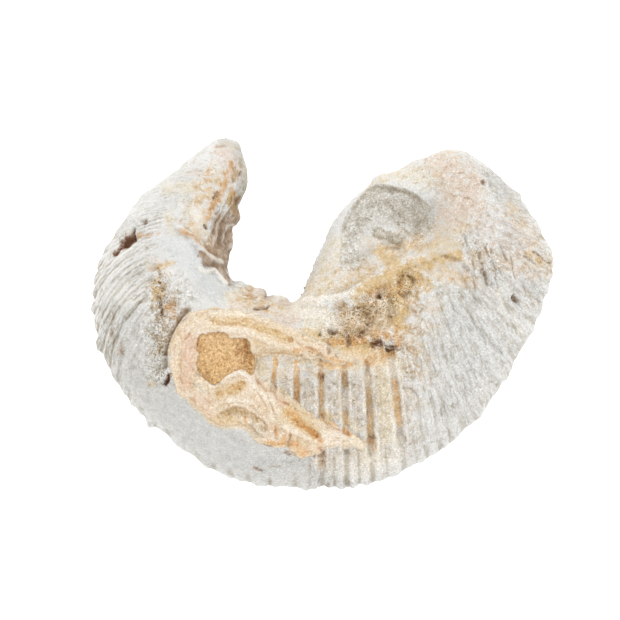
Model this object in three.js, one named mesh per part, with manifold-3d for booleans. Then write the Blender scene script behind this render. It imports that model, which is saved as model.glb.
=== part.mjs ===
// A fossil coxcomb oyster, bent into a crescent, with a smaller oyster cemented across its back.
// The two ribbed valves of the big oyster are turned to one stone. It lies on its worn lower valve.
// Millimetres, +Z up, origin on the resting plane under the middle of the fossil.

import * as THREE from 'three';
import { mergeVertices } from 'three/addons/utils/BufferGeometryUtils.js';
import Module from 'manifold-3d';

const manifold = await Module();
manifold.setup();

// ---- driving dimensions ----

const CEMENT_GAP = 0.32; // between one piece and the next
const RIB_RELIEF = 0.95; // half the height of a full rib
const LOWER_RELIEF = 0.55; // share of that on the lower valve
const LOWER_INSET = 0.55; // the lower valve's margin stands back by this much
const ZIGZAG = 0.9; // half the rise and fall of the seam between the valves
const WORN_FLAT = 0.34; // share of the lower valve's half width that is worn flat, without ribs
const GROOVE_SHARE = 0.16; // half width of a groove on the broad middle ribs, as a share of a rib
const OYSTER_THICKNESS = 1.7; // how far the small oyster stands out of the big one
const OYSTER_SEAT = 1.5; // how deep it sits in the big one
const CAVITY_DEPTH = 2.2; // of the hollow broken open in the small oyster
const SAND_RECESS = 0.8; // from the hollow's rim down to the sand that fills it

// The frames of the crescent, from the pointed beak to the broad growing end.
// ribs: ribs counted from the beak. inner, crest and outer: points of the concave margin, the
// highest line and the convex margin. keel: height of the lower valve's lowest line, cut off at 0.
// bow: how far a rib bends off the straight line, as a share of its length.
// relief: how strong the ribs are there.
const FRAMES = [
  { ribs: 0, inner: [-18.1, 32.4, 9.5], crest: [-18.1, 32.4, 9.5], outer: [-18.1, 32.4, 9.5],
    keel: 9.5, bow: 0, relief: 0 },
  { ribs: 0.4, inner: [-16.2, 31.9, 9.2], crest: [-17.9, 31.8, 11.5], outer: [-19.9, 32.2, 9.5],
    keel: 7, bow: 0, relief: 0 },
  { ribs: 1, inner: [-15.3, 30.7, 9], crest: [-17.7, 30.7, 14], outer: [-20.8, 31.6, 9.5],
    keel: 4.5, bow: 0.01, relief: 0.05 },
  { ribs: 3, inner: [-14.6, 26.8, 9], crest: [-19.2, 27.4, 17], outer: [-26.9, 27.2, 9.5],
    keel: 2, bow: 0.04, relief: 0.15 },
  { ribs: 6.5, inner: [-15.1, 21.3, 9], crest: [-21.2, 22.6, 19.5], outer: [-35.5, 19.5, 10.5],
    keel: 0, bow: 0.09, relief: 0.3 },
  { ribs: 10.5, inner: [-16.8, 15.1, 9.5], crest: [-23.2, 16.9, 21.5], outer: [-41.4, 9.2, 11.5],
    keel: -0.8, bow: 0.14, relief: 0.5 },
  { ribs: 14, inner: [-17.4, 9.7, 10.5], crest: [-24.7, 12.1, 22.8], outer: [-42.7, -0.7, 12],
    keel: -0.8, bow: 0.16, relief: 0.7 },
  { ribs: 15.8, inner: [-16.8, 6.6, 11], crest: [-25.2, 9, 23.5], outer: [-41.2, -6.8, 12.5],
    keel: -0.8, bow: 0.16, relief: 0.75 },
  { ribs: 17.6, inner: [-15, 5.1, 12], crest: [-25.2, 5.5, 24.2], outer: [-38.5, -12.3, 12.5],
    keel: -0.8, bow: 0.16, relief: 0.75 },
  { ribs: 19.5, inner: [-12.9, 4.2, 13], crest: [-24.3, 2.2, 25], outer: [-34.6, -17.3, 12.5],
    keel: -0.8, bow: 0.15, relief: 0.7 },
  { ribs: 21.5, inner: [-10.7, 3.9, 13.5], crest: [-22.1, -1.3, 26], outer: [-29.7, -22.2, 12.5],
    keel: -0.8, bow: 0.13, relief: 0.65 },
  { ribs: 23.8, inner: [-8.5, 3.5, 14], crest: [-18.6, -4.2, 27], outer: [-23.4, -27, 12.5],
    keel: -0.8, bow: 0.09, relief: 0.7 },
  { ribs: 26, inner: [-6.5, 3.5, 14.5], crest: [-14.2, -5.9, 27.6], outer: [-17.2, -30.1, 12.5],
    keel: -0.8, bow: 0.05, relief: 0.8 },
  { ribs: 28, inner: [-4.5, 4.6, 14.5], crest: [-8.4, -6.6, 28], outer: [-10, -31.8, 12.5],
    keel: -0.8, bow: 0.01, relief: 1 },
  { ribs: 30, inner: [-3.2, 6.8, 14], crest: [-0.6, -6.8, 28], outer: [-0.5, -32.1, 12.5],
    keel: -0.8, bow: 0, relief: 1 },
  { ribs: 32, inner: [-2.3, 9.2, 13.5], crest: [7.4, -5.3, 27.4], outer: [8.9, -31.2, 12.5],
    keel: -0.8, bow: 0, relief: 1 },
  { ribs: 33.6, inner: [-1.4, 11.6, 13], crest: [13.1, -1.1, 26.6], outer: [17.5, -27.5, 12.5],
    keel: -0.8, bow: 0, relief: 0.8 },
  { ribs: 36, inner: [-0.1, 14.3, 12.5], crest: [14.6, 4.2, 25.4], outer: [23.4, -23.5, 12.5],
    keel: -0.8, bow: 0, relief: 0.6 },
  { ribs: 39, inner: [2.5, 18.5, 12], crest: [17.9, 8.4, 24], outer: [29.8, -16.9, 12.5],
    keel: -0.8, bow: 0.02, relief: 0.55 },
  { ribs: 42, inner: [6.3, 22.4, 12], crest: [22.3, 11.4, 23.2], outer: [35.5, -8.1, 12.5],
    keel: -0.8, bow: 0.03, relief: 0.55 },
  { ribs: 45, inner: [10.9, 25.5, 12], crest: [25.8, 14.1, 23], outer: [39.7, 0.9, 12.5],
    keel: -0.8, bow: 0.03, relief: 0.55 },
  { ribs: 47.5, inner: [14.6, 27.2, 12], crest: [27.6, 17.1, 23.4], outer: [42.1, 9, 12],
    keel: -0.8, bow: 0.02, relief: 0.55 },
  { ribs: 50, inner: [17.9, 28.6, 12], crest: [28, 20, 23.2], outer: [40.1, 15.4, 12],
    keel: -0.5, bow: 0.01, relief: 0.5 },
  { ribs: 52.5, inner: [20.8, 29.4, 11.5], crest: [27.4, 23.3, 21.5], outer: [35.3, 22.2, 11.5],
    keel: 0.8, bow: 0, relief: 0.35 },
  { ribs: 55, inner: [23.4, 30.1, 11], crest: [26.7, 26.4, 17.5], outer: [30.4, 26.8, 11],
    keel: 4, bow: 0, relief: 0.15 },
  { ribs: 55.7, inner: [25, 30.1, 11], crest: [26.2, 28.6, 14], outer: [27.8, 28.7, 11],
    keel: 8, bow: 0, relief: 0 },
  { ribs: 56, inner: [26.1, 29.8, 11], crest: [26.1, 29.8, 11], outer: [26.1, 29.8, 11],
    keel: 11, bow: 0, relief: 0 },
];
const LAST_RIB = FRAMES[FRAMES.length - 1].ribs;
const BROAD_RIBS = [26, 34]; // first and last of the broad flat ribs across the middle
const BEAK_RIBS = 16; // the inner flank is a steep bank up to here, and a round shoulder past it

// Points round a section: outer flank, inner flank, then back under the lower valve.
const SECTION_STEPS = { outerTop: 9, innerTop: 7, innerUnder: 3, outerUnder: 5 };

// The smooth scoop in the broad end: round on its upper side, open towards the bend.
const SCOOP = { centre: [12.9, 11.8], radius: 12.2, wall: 2.6, depth: 4.6 };
// Its lower side fades out before this line, which the arched ridge follows.
const ARCH_RIDGE = [[3.8, 2.6], [9, 5.9], [13.9, 8.8], [18.5, 10.6], [23.4, 11], [26.3, 8.8], [27.8, 4.4]];
const ARCH_HEIGHT = 0.9;
const ARCH_HALF_WIDTH = 1.35;

// Lumps: place, half width and height. Knobs on the concave margin, then cemented rubble by it.
const LUMPS = [
  { at: [-14.1, 4.1], halfWidth: 1.8, height: 1.9 },
  { at: [-11.5, 3.6], halfWidth: 1.7, height: 2.1 },
  { at: [-7.4, 2.6], halfWidth: 1.7, height: 2 },
  { at: [4.6, 3.2], halfWidth: 1.8, height: 0.9 },
  { at: [7.9, 0.6], halfWidth: 2.2, height: -1.1 },
  { at: [9.9, 3.9], halfWidth: 1.6, height: 1.0 },
  { at: [13.6, 5.2], halfWidth: 1.7, height: -0.7 },
  { at: [-30.1, 1.1], halfWidth: 1.8, height: -0.8 },
  { at: [-28.6, -5.6], halfWidth: 2.0, height: -0.9 },
  { at: [28.5, 25.6], halfWidth: 3.2, height: 0.8 },
];

// Pits: place, half length, half width, turn in degrees and depth.
const PITS = [
  { at: [-35.6, 13.6], half: [2.4, 1.3], turn: 50, depth: 1.5 },
  { at: [-33.3, 16.9], half: [1.2, 0.7], turn: 30, depth: 0.7 },
  { at: [-11.6, 1.1], half: [1.3, 0.5], turn: 5, depth: 0.8 },
  { at: [9.8, -5.2], half: [1.7, 0.9], turn: -15, depth: 1.2 },
  { at: [12.3, -6.9], half: [1.2, 0.9], turn: -20, depth: 1.1 },
  { at: [34.9, 3.2], half: [1.1, 0.7], turn: -55, depth: 0.9 },
  { at: [-28.9, -13], half: [1.4, 0.5], turn: 60, depth: 1.0 },
];

// The small oyster's outline: a rounded body with an arm above and an arm below the bare ribs.
const OYSTER_OUTLINE = [
  [-21.8, 3.9], [-25.2, 1.6], [-27.6, -2.4], [-28.5, -7.6], [-28, -12.8], [-25.6, -17.2], [-21, -21.6],
  [-15.4, -24.8], [-9, -26.6], [-3.6, -26.4], [-1.4, -25.4], [3.4, -25.4], [7.6, -25], [7.4, -23.8],
  [2.6, -22.4], [-1.4, -19.6], [-5.6, -16], [-9.6, -13.2], [-12, -11.2], [-12, -8], [-10.6, -6.6],
  [-6.4, -7.2], [-1.8, -8.2], [1.6, -8.2], [2.2, -6.9], [-0.8, -4.4], [-5.4, -1.8], [-11, 0.4], [-16.4, 2.4],
];
// The hollow broken open in it, with one straight side, filled with hardened sand.
const CAVITY_OUTLINE = [
  [-23.3, -4.2], [-19, -3.6], [-14.8, -4.2], [-12.9, -6], [-13.1, -10.2], [-15.6, -11.9], [-18.6, -13.4],
  [-21, -15], [-23, -13.6], [-23.4, -9],
];
// Raised and sunk bands on the small oyster: a line, its half width and its height.
const OYSTER_BANDS = [
  { line: [[-26, -4], [-26.6, -9], [-24.8, -15], [-20.4, -19.4]], halfWidth: 1.5, height: 0.45 },
  { line: [[-20.4, -2.2], [-15, -2], [-9.4, -3.6], [-3, -6.6]], halfWidth: 0.9, height: 0.6 },
  { line: [[-20.4, -0.4], [-14.4, -0.6], [-8.4, -2.4], [-2.6, -5.4]], halfWidth: 0.8, height: -0.9 },
  { line: [[-20.6, -15.2], [-18, -13.2], [-15.2, -12.2], [-12.4, -13], [-10.4, -15]], halfWidth: 0.9,
    height: 0.8 },
  { line: [[-19.6, -18], [-15, -17.6], [-10.6, -19.4], [-6, -22.4]], halfWidth: 1.6, height: -0.9 },
  { line: [[-7, -16.2], [-3.4, -18.6], [-0.2, -21.4], [3, -23.6]], halfWidth: 0.8, height: -0.9 },
  { line: [[-9.2, -23], [-5.6, -24.6], [-2.4, -24.8]], halfWidth: 1.4, height: 0.6 },
];

// ---- colours ----

const MATERIALS = {
  shell: { color: '#dcdcd6', roughness: 0.85, metalness: 0 },
  oyster: { color: '#e6cda4', roughness: 0.85, metalness: 0 },
  sand: { color: '#c99b5c', roughness: 0.95, metalness: 0 },
};

// ---- small helpers ----

const mix = (a, b, share) => a + (b - a) * share;
const clamp = (value, low, high) => Math.min(high, Math.max(low, value));
const radians = (degrees) => (degrees * Math.PI) / 180;

function smoothStep(low, high, value) {
  const share = clamp((value - low) / (high - low), 0, 1);
  return share * share * (3 - 2 * share);
}

// A bump of height 1 that falls to 0.37 at the half width.
const bump = (distance, halfWidth) => Math.exp(-((distance / halfWidth) ** 2));

// Distance from a point to a line of points.
function distanceToLine(x, y, line) {
  let nearest = Infinity;
  for (let i = 0; i + 1 < line.length; i += 1) {
    const [ax, ay] = line[i];
    const dx = line[i + 1][0] - ax;
    const dy = line[i + 1][1] - ay;
    const share = clamp(((x - ax) * dx + (y - ay) * dy) / (dx * dx + dy * dy), 0, 1);
    nearest = Math.min(nearest, Math.hypot(x - ax - dx * share, y - ay - dy * share));
  }
  return nearest;
}

// ---- the crescent's frames ----

const COLUMNS = FRAMES.map((f) => [...f.inner, ...f.crest, ...f.outer, f.keel, f.bow, f.relief]);

// The slope of every column at one frame, from its neighbours.
function slopesAt(index) {
  const before = Math.max(0, index - 1);
  const after = Math.min(FRAMES.length - 1, index + 1);
  const span = FRAMES[after].ribs - FRAMES[before].ribs;
  return COLUMNS[index].map((_, c) => (COLUMNS[after][c] - COLUMNS[before][c]) / span);
}

// All measures of the crescent at any rib count, on smooth curves through the frames.
function frameAt(ribs) {
  let index = 0;
  while (index < FRAMES.length - 2 && FRAMES[index + 1].ribs < ribs) index += 1;
  const span = FRAMES[index + 1].ribs - FRAMES[index].ribs;
  const t = (ribs - FRAMES[index].ribs) / span;
  const from = slopesAt(index);
  const to = slopesAt(index + 1);
  const v = COLUMNS[index].map((start, c) => {
    const end = COLUMNS[index + 1][c];
    return start * (1 + 2 * t) * (1 - t) ** 2 + from[c] * span * t * (1 - t) ** 2
      + end * t * t * (3 - 2 * t) + to[c] * span * t * t * (t - 1);
  });
  const ends = Math.min(ribs, LAST_RIB - ribs);
  const swell = Math.sqrt(1 - (1 - clamp(ends, 0, 1)) ** 2) / Math.max(0.001, clamp(ends, 0, 1));
  const middle = (v[2] + v[8]) / 2;
  return {
    ribs,
    inner: [v[0], v[1], v[2]],
    crest: [v[3], v[4], mix(middle, v[5], swell)],
    outer: [v[6], v[7], v[8]],
    keel: [mix(v[3], (v[0] + v[6]) / 2, 0.5), mix(v[4], (v[1] + v[7]) / 2, 0.5), mix(middle, v[9], swell)],
    bow: v[10],
    relief: v[11],
  };
}

// 1 on a rib's back and -1 in a groove. The middle ribs are flat with narrow grooves.
function ribWave(ribs) {
  const fromGroove = Math.abs(ribs - Math.round(ribs));
  const round = -Math.cos(2 * Math.PI * ribs);
  const flat = 1 - 2 * bump(fromGroove, GROOVE_SHARE);
  const middle = smoothStep(BROAD_RIBS[0] - 1.5, BROAD_RIBS[0], ribs)
    * (1 - smoothStep(BROAD_RIBS[1], BROAD_RIBS[1] + 1.5, ribs));
  return mix(round, flat, middle);
}

// How strongly the ribs show: they fade out at the crest, on the worn parts and by the scoop.
function ribStrength(frame, along, outer, upper) {
  const start = mix(0.55, 0.22, smoothStep(10, 24, frame.ribs));
  const fadeIn = smoothStep(start * 0.3, start, along);
  if (!upper) return frame.relief * LOWER_RELIEF * smoothStep(WORN_FLAT, WORN_FLAT + 0.2, along);
  if (!outer) return 0.45 * frame.relief * fadeIn * (1 - smoothStep(15, 18, frame.ribs));
  const worn = smoothStep(17, 19, frame.ribs) * (1 - smoothStep(24.5, 26.5, frame.ribs));
  const polished = worn * smoothStep(0.45, 0.6, along) * (1 - smoothStep(0.93, 0.99, along));
  const rim = 1 - 0.3 * smoothStep(0.85, 1, along);
  return frame.relief * fadeIn * rim * (1 - 0.65 * polished);
}

// What is added to the upper surface at one place: the scoop, the arched ridge and the lumps.
function upperFeatures(x, y) {
  const inside = SCOOP.radius - Math.hypot(x - SCOOP.centre[0], y - SCOOP.centre[1]);
  const arch = distanceToLine(x, y, ARCH_RIDGE);
  const aboveArch = (y - ARCH_RIDGE[0][1]) - (x - ARCH_RIDGE[0][0]) * 0.46;
  let z = -SCOOP.depth * smoothStep(0, SCOOP.wall, inside) * smoothStep(-0.5, 7.5, aboveArch);
  z += ARCH_HEIGHT * bump(arch, ARCH_HALF_WIDTH);
  for (const lump of LUMPS) {
    z += lump.height * bump(Math.hypot(x - lump.at[0], y - lump.at[1]), lump.halfWidth);
  }
  return z;
}

// One point of a section. The angle runs from the outer margin over the crest to the inner one.
function shellPoint(frame, angle, ribbed) {
  const outer = Math.cos(angle) >= 0;
  const upper = Math.sin(angle) >= 0;
  const along = Math.abs(Math.cos(angle));
  const rise = Math.abs(Math.sin(angle));
  const apex = upper ? frame.crest : frame.keel;
  const margin = outer ? frame.outer : frame.inner;
  const reach = Math.hypot(margin[0] - apex[0], margin[1] - apex[1]) || 1;
  const away = [(margin[0] - apex[0]) / reach, (margin[1] - apex[1]) / reach];
  const bow = outer ? 4 * frame.bow * along * (1 - along) * reach : 0;
  const bank = !outer && upper ? 1 - smoothStep(BEAK_RIBS - 4, BEAK_RIBS, frame.ribs) : 0;
  const profile = mix(rise, 1 - along ** 1.5, 0.8 * bank);
  let x = apex[0] + away[0] * along * reach + away[1] * bow;
  let y = apex[1] + away[1] * along * reach - away[0] * bow;
  let z = margin[2] + (apex[2] - margin[2]) * profile;
  const grown = smoothStep(0, 2, Math.min(frame.ribs, LAST_RIB - frame.ribs));
  const upperShare = smoothStep(-0.2, 0.2, Math.sin(angle));
  if (upper) z += upperFeatures(x, y) * smoothStep(0.05, 0.5, rise) * grown;
  let out = -LOWER_INSET * (1 - upperShare) * along * grown;
  if (ribbed) {
    const relief = RIB_RELIEF * ribWave(frame.ribs) * grown;
    out += relief * ribStrength(frame, along, outer, true) * upperShare;
    out -= relief * ribStrength(frame, along, outer, false) * (1 - upperShare);
    z += ZIGZAG * ribWave(frame.ribs) * frame.relief * grown * bump(rise, 0.25);
  }
  x += away[0] * out * along;
  y += away[1] * out * along;
  z += out * rise * (upper ? 1 : -1);
  return [x, y, Math.max(0, z)];
}

// The rib counts of all sections: groove and back of every rib, with edges on the broad ones.
function stations() {
  const counts = [0.1, 0.4, 1];
  for (let rib = 1; rib < LAST_RIB - 1; rib += 1) {
    const broad = rib >= BROAD_RIBS[0] && rib < BROAD_RIBS[1];
    const steps = broad ? [0.25, 0.5, 0.75, 1] : [0.5, 1];
    counts.push(...steps.map((step) => rib + step));
  }
  counts.push(LAST_RIB - 0.3, LAST_RIB - 0.08);
  return counts;
}

// The angles of the points round one section, counter-clockwise from the outer margin.
function sectionAngles() {
  const { outerTop, innerTop, innerUnder, outerUnder } = SECTION_STEPS;
  const quarter = Math.PI / 2;
  const angles = [];
  [outerTop, innerTop, innerUnder, outerUnder].forEach((steps, quadrant) => {
    for (let i = 0; i < steps; i += 1) angles.push(quarter * (quadrant + i / steps));
  });
  return angles;
}

// The whole fossil's skin, closed by a point at each end.
function shellGeometry(ribbed) {
  const angles = sectionAngles();
  const around = angles.length;
  const points = [];
  for (const ribs of stations()) {
    const frame = frameAt(ribs);
    for (const angle of angles) points.push(shellPoint(frame, angle, ribbed));
  }
  const rings = points.length / around;
  const beak = points.push(FRAMES[0].crest) - 1;
  const end = points.push(FRAMES[FRAMES.length - 1].crest) - 1;
  const triangles = [];
  for (let i = 0; i < around; i += 1) {
    const next = (i + 1) % around;
    triangles.push(beak, i, next);
    for (let ring = 0; ring + 1 < rings; ring += 1) {
      const here = ring * around;
      const there = here + around;
      triangles.push(here + i, there + i, there + next, here + i, there + next, here + next);
    }
    triangles.push((rings - 1) * around + i, end, (rings - 1) * around + next);
  }
  return indexedGeometry(points, triangles);
}

// ---- solids ----

function indexedGeometry(points, triangles) {
  const geometry = new THREE.BufferGeometry();
  geometry.setAttribute('position', new THREE.Float32BufferAttribute(points.flat(), 3));
  geometry.setIndex(triangles);
  return geometry;
}

function toSolid(geometry) {
  const bare = geometry.clone();
  bare.deleteAttribute('normal');
  bare.deleteAttribute('uv');
  const merged = mergeVertices(bare, 1e-4);
  return new manifold.Manifold(new manifold.Mesh({
    numProp: 3,
    vertProperties: new Float32Array(merged.attributes.position.array),
    triVerts: new Uint32Array(merged.index.array),
  }));
}

function toGeometry(solid) {
  const mesh = solid.getMesh();
  const geometry = new THREE.BufferGeometry();
  geometry.setAttribute('position', new THREE.BufferAttribute(new Float32Array(mesh.vertProperties), 3));
  geometry.setIndex(new THREE.BufferAttribute(new Uint32Array(mesh.triVerts), 1));
  const faceted = geometry.toNonIndexed();
  faceted.computeVertexNormals();
  return faceted;
}

// Everything under the upper surface of a height function, or over it, down or up to a far plane.
function sideOfSurface(height, cell, area, over) {
  const columns = Math.round((area[1] - area[0]) / cell);
  const rows = Math.round((area[3] - area[2]) / cell);
  const farPlane = over ? 60 : -20;
  const points = [];
  for (const far of [false, true]) {
    for (let j = 0; j <= rows; j += 1) {
      for (let i = 0; i <= columns; i += 1) {
        const x = mix(area[0], area[1], i / columns);
        const y = mix(area[2], area[3], j / rows);
        points.push([x, y, far ? farPlane : height(x, y)]);
      }
    }
  }
  const at = (i, j, far) => i + (columns + 1) * (j + (rows + 1) * (far ? 1 : 0));
  const triangles = [];
  const quad = (a, b, c, d) => triangles.push(...(over ? [a, c, b, a, d, c] : [a, b, c, a, c, d]));
  for (let j = 0; j < rows; j += 1) {
    for (let i = 0; i < columns; i += 1) {
      quad(at(i, j), at(i + 1, j), at(i + 1, j + 1), at(i, j + 1));
      quad(at(i, j, true), at(i, j + 1, true), at(i + 1, j + 1, true), at(i + 1, j, true));
    }
  }
  for (let i = 0; i < columns; i += 1) {
    quad(at(i, 0, true), at(i + 1, 0, true), at(i + 1, 0), at(i, 0));
    quad(at(i + 1, rows, true), at(i, rows, true), at(i, rows), at(i + 1, rows));
  }
  for (let j = 0; j < rows; j += 1) {
    quad(at(0, j + 1, true), at(0, j, true), at(0, j), at(0, j + 1));
    quad(at(columns, j, true), at(columns, j + 1, true), at(columns, j + 1), at(columns, j));
  }
  return toSolid(indexedGeometry(points, triangles));
}

// An upright block with a smooth closed outline, grown outwards by a margin.
function outlineBlock(outline, steps, grow) {
  const curve = new THREE.CatmullRomCurve3(
    outline.map(([x, y]) => new THREE.Vector3(x, y, 0)), true, 'centripetal');
  const points = curve.getPoints(steps).slice(0, -1);
  const turn = THREE.ShapeUtils.isClockWise(points) ? -1 : 1;
  const shape = new THREE.Shape(points.map((point, i) => {
    const tangent = curve.getTangent(i / steps);
    return new THREE.Vector2(point.x + tangent.y * grow * turn, point.y - tangent.x * grow * turn);
  }));
  const block = new THREE.ExtrudeGeometry(shape, { depth: 60, bevelEnabled: false });
  return toSolid(block.translate(0, 0, -10));
}

// Heights of the smooth upper surface, without ribs, by dropping a ray on it.
const smoothSkin = new THREE.Mesh(shellGeometry(false), new THREE.MeshBasicMaterial());
const dropRay = new THREE.Raycaster();
function skinHeight(x, y) {
  dropRay.set(new THREE.Vector3(x, y, 100), new THREE.Vector3(0, 0, -1));
  const hit = dropRay.intersectObject(smoothSkin)[0];
  return hit ? hit.point.z : 0;
}

// ---- the pieces ----

const OYSTER_AREA = [-30, 9, -28, 5];

function oysterOutline() {
  const curve = new THREE.CatmullRomCurve3(
    OYSTER_OUTLINE.map(([x, y]) => new THREE.Vector3(x, y, 0)), true, 'centripetal');
  return curve.getPoints(120).map((point) => [point.x, point.y]);
}

// How far the small oyster stands out of the big one at one place.
function oysterRise(x, y, edge) {
  const fromEdge = distanceToLine(x, y, edge);
  let rise = OYSTER_THICKNESS * mix(0.35, 1, smoothStep(0, 2.2, fromEdge));
  for (const band of OYSTER_BANDS) {
    rise += band.height * bump(distanceToLine(x, y, band.line), band.halfWidth);
  }
  return rise;
}

function pitSolid({ at: [x, y], half, turn, depth }) {
  const pit = new THREE.IcosahedronGeometry(1, 1).scale(half[0], half[1], depth * 1.6);
  pit.rotateZ(radians(turn));
  pit.translate(x, y, skinHeight(x, y) + depth * 0.6);
  return toSolid(pit);
}

function makePieces() {
  const edge = oysterOutline();
  const seatHeight = (x, y) => skinHeight(x, y) - OYSTER_SEAT;
  const floorHeight = (x, y) => skinHeight(x, y) + OYSTER_THICKNESS - CAVITY_DEPTH;
  const top = sideOfSurface((x, y) => skinHeight(x, y) + oysterRise(x, y, edge), 1.3, OYSTER_AREA, false);
  const seat = sideOfSurface(seatHeight, 3, OYSTER_AREA, true);
  const floor = sideOfSurface(floorHeight, 3, OYSTER_AREA, true);
  const sandTop = sideOfSurface(
    (x, y) => skinHeight(x, y) + OYSTER_THICKNESS - SAND_RECESS, 3, OYSTER_AREA, false);
  const cavity = outlineBlock(CAVITY_OUTLINE, 30, 0).intersect(floor);

  let shell = toSolid(shellGeometry(true));
  for (const pit of PITS) shell = shell.subtract(pitSolid(pit));
  const room = outlineBlock(OYSTER_OUTLINE, 80, CEMENT_GAP).intersect(seat.translate([0, 0, -CEMENT_GAP]));
  shell = shell.subtract(room);

  const oyster = outlineBlock(OYSTER_OUTLINE, 80, 0).intersect(top).intersect(seat).subtract(cavity);
  const sand = outlineBlock(CAVITY_OUTLINE, 30, -CEMENT_GAP)
    .intersect(floor.translate([0, 0, CEMENT_GAP])).intersect(sandTop);
  return { coxcomb_oyster: [shell, 'shell'], small_oyster: [oyster, 'oyster'], sand_filling: [sand, 'sand'] };
}

// All pieces, shifted so that the origin is under the middle of the whole fossil.
function makeFossil() {
  const fossil = new THREE.Group();
  for (const [name, [solid, finish]] of Object.entries(makePieces())) {
    const mesh = new THREE.Mesh(toGeometry(solid), new THREE.MeshStandardMaterial(MATERIALS[finish]));
    mesh.name = name;
    fossil.add(mesh);
  }
  const middle = new THREE.Box3().setFromObject(fossil).getCenter(new THREE.Vector3());
  fossil.position.set(-middle.x, -middle.y, 0);
  return fossil;
}

export default makeFossil();
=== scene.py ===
"""A fossil coxcomb oyster, bent into a crescent, with a smaller oyster cemented across its back.

The big oyster is one ribbed skin, swept along the crescent's frames. Its fine surface is worked in
code, because no operator gives the wear of a natural stone. Lengths named _mm or held in the lists
are millimetres, counted from the fossil's own centre, and are turned to metres once, in finish_piece.
"""

from itertools import product

import bpy
import numpy as np
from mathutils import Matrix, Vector
from mathutils.bvhtree import BVHTree


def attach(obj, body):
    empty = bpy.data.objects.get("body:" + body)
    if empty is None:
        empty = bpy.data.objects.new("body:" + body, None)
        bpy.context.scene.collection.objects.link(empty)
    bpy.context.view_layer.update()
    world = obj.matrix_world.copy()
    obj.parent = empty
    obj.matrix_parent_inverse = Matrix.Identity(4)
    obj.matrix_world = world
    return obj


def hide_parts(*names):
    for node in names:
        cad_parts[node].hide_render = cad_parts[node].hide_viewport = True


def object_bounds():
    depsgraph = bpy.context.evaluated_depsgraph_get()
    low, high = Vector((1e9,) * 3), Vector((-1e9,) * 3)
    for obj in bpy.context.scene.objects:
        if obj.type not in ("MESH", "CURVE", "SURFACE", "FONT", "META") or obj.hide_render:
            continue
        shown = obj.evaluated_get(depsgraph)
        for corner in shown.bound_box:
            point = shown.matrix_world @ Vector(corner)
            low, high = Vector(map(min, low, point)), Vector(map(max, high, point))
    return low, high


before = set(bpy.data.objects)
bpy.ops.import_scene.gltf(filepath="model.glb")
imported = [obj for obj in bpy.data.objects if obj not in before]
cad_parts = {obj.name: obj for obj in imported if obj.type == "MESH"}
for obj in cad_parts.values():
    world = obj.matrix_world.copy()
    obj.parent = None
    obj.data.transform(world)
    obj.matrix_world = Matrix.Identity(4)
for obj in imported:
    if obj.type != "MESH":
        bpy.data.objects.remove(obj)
cad_low, cad_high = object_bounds()

MM = 0.001
EASE = 1.5 * MM  # detail that stands out of the solid's box is drawn in over this width

# ---- driving dimensions: millimetres, counts of ribs, and shares from 0 to 1 ----

CENTRE = (0.361, 0.0015)  # from the lists' own centre to the middle of the whole fossil
RIB_RELIEF = 0.95  # half the height of a full rib
LOWER_RELIEF = 0.55  # share of that on the lower valve
LOWER_INSET = 0.55  # the lower valve's margin stands back by this much
ZIGZAG = 0.9  # half the rise and fall of the seam between the valves
WORN_FLAT = 0.34  # share of the lower valve's half width that is worn flat
GROOVE_SHARE = 0.115  # half width of a groove on the broad middle ribs, as a share of a rib
RIBS_FADE = (0.55, 0.22)  # how far from the crest the ribs are full, near the beak and at the broad end
RIBS_WANDER = 0.4  # how far the ribs past the middle stray from their lines, in ribs
# Rib counts between which each of these comes in, and between which it ends.
BROAD_RIBS = (26.7, 28.2, 33, 34.5)  # the broad flat ribs
WORN_RIBS = (19.5, 21.5, 29.3, 29.8)  # the smooth worn band by the margin
BANK_RIBS = (5.5, 7.5, 12.5, 14.5)  # the growth steps down the steep inner bank
LEFT_RIBS = (8.5, 10.5, 16.5, 18.5)  # the grooves at half pitch on the left flank
FLANK_RIBS = (8.5, 10.5, 17, 18.5)  # the dark cracks and pale bands there
WORN_FROM = (0.48, 0.56)  # where the worn band comes in on the way from crest to margin
# At a rib count: how strongly fine riblets show, and thin long lines.
RIBLETS_SHOW = (
    (0, 0.25), (9, 0.3), (11, 0.8), (17, 0.8), (19, 0.2), (25, 0.2), (27, 0.8), (34, 0.8), (36, 1), (45, 1),
    (49, 0.5), (56, 0.4),
)
LINES_SHOW = ((2, 0.2), (8, 1), (17, 1), (20, 0.3), (26, 0.15), (28, 0.6), (34, 0.6), (50, 0.8))
# At a rib count: how strongly the ribs show on the flank, and how strongly at the margin.
RIBS_SHOW = (
    (0, 0.3, 0.2), (7, 0.12, 0.3), (10, 0.12, 0.5), (13, 0.16, 0.7), (17, 0.16, 0.6), (19, 0.08, 0.3),
    (25, 0.03, 0.3), (26.9, 0.05, 0.3), (27.6, 0.55, 0.3), (33.3, 0.55, 0.3), (33.9, 0.12, 0.3),
    (36, 0.2, 0.3), (44, 0.2, 0.4), (48, 0.12, 0.3), (56, 0.15, 0.2),
)
BEAK_RIBS = 16  # the inner flank is a steep bank up to here, and a round shoulder past it
LAMELLAE = 3.4  # growth steps down that bank
OYSTER_STANDS = 1.6  # how far the small oyster stands out of the big one
OYSTER_SUNK = 2.0  # how deep its underside sits in the big one
OYSTER_CELL = 0.17  # grid of its surface
CAVITY_DEPTH = 2.2  # from its back down to the floor of its cavity
SAND_DEPTH = 0.5  # from its back down to the sand
SAND_UNDERSIDE = 3.0  # from its back down to the sand's underside
HATCH_PITCH = 0.62  # between the fine cross lines in its grooves
EDGE_LINE_PITCH = 0.75  # between the growth lines along its edge

SECTIONS = 520  # sections from beak to end
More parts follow.
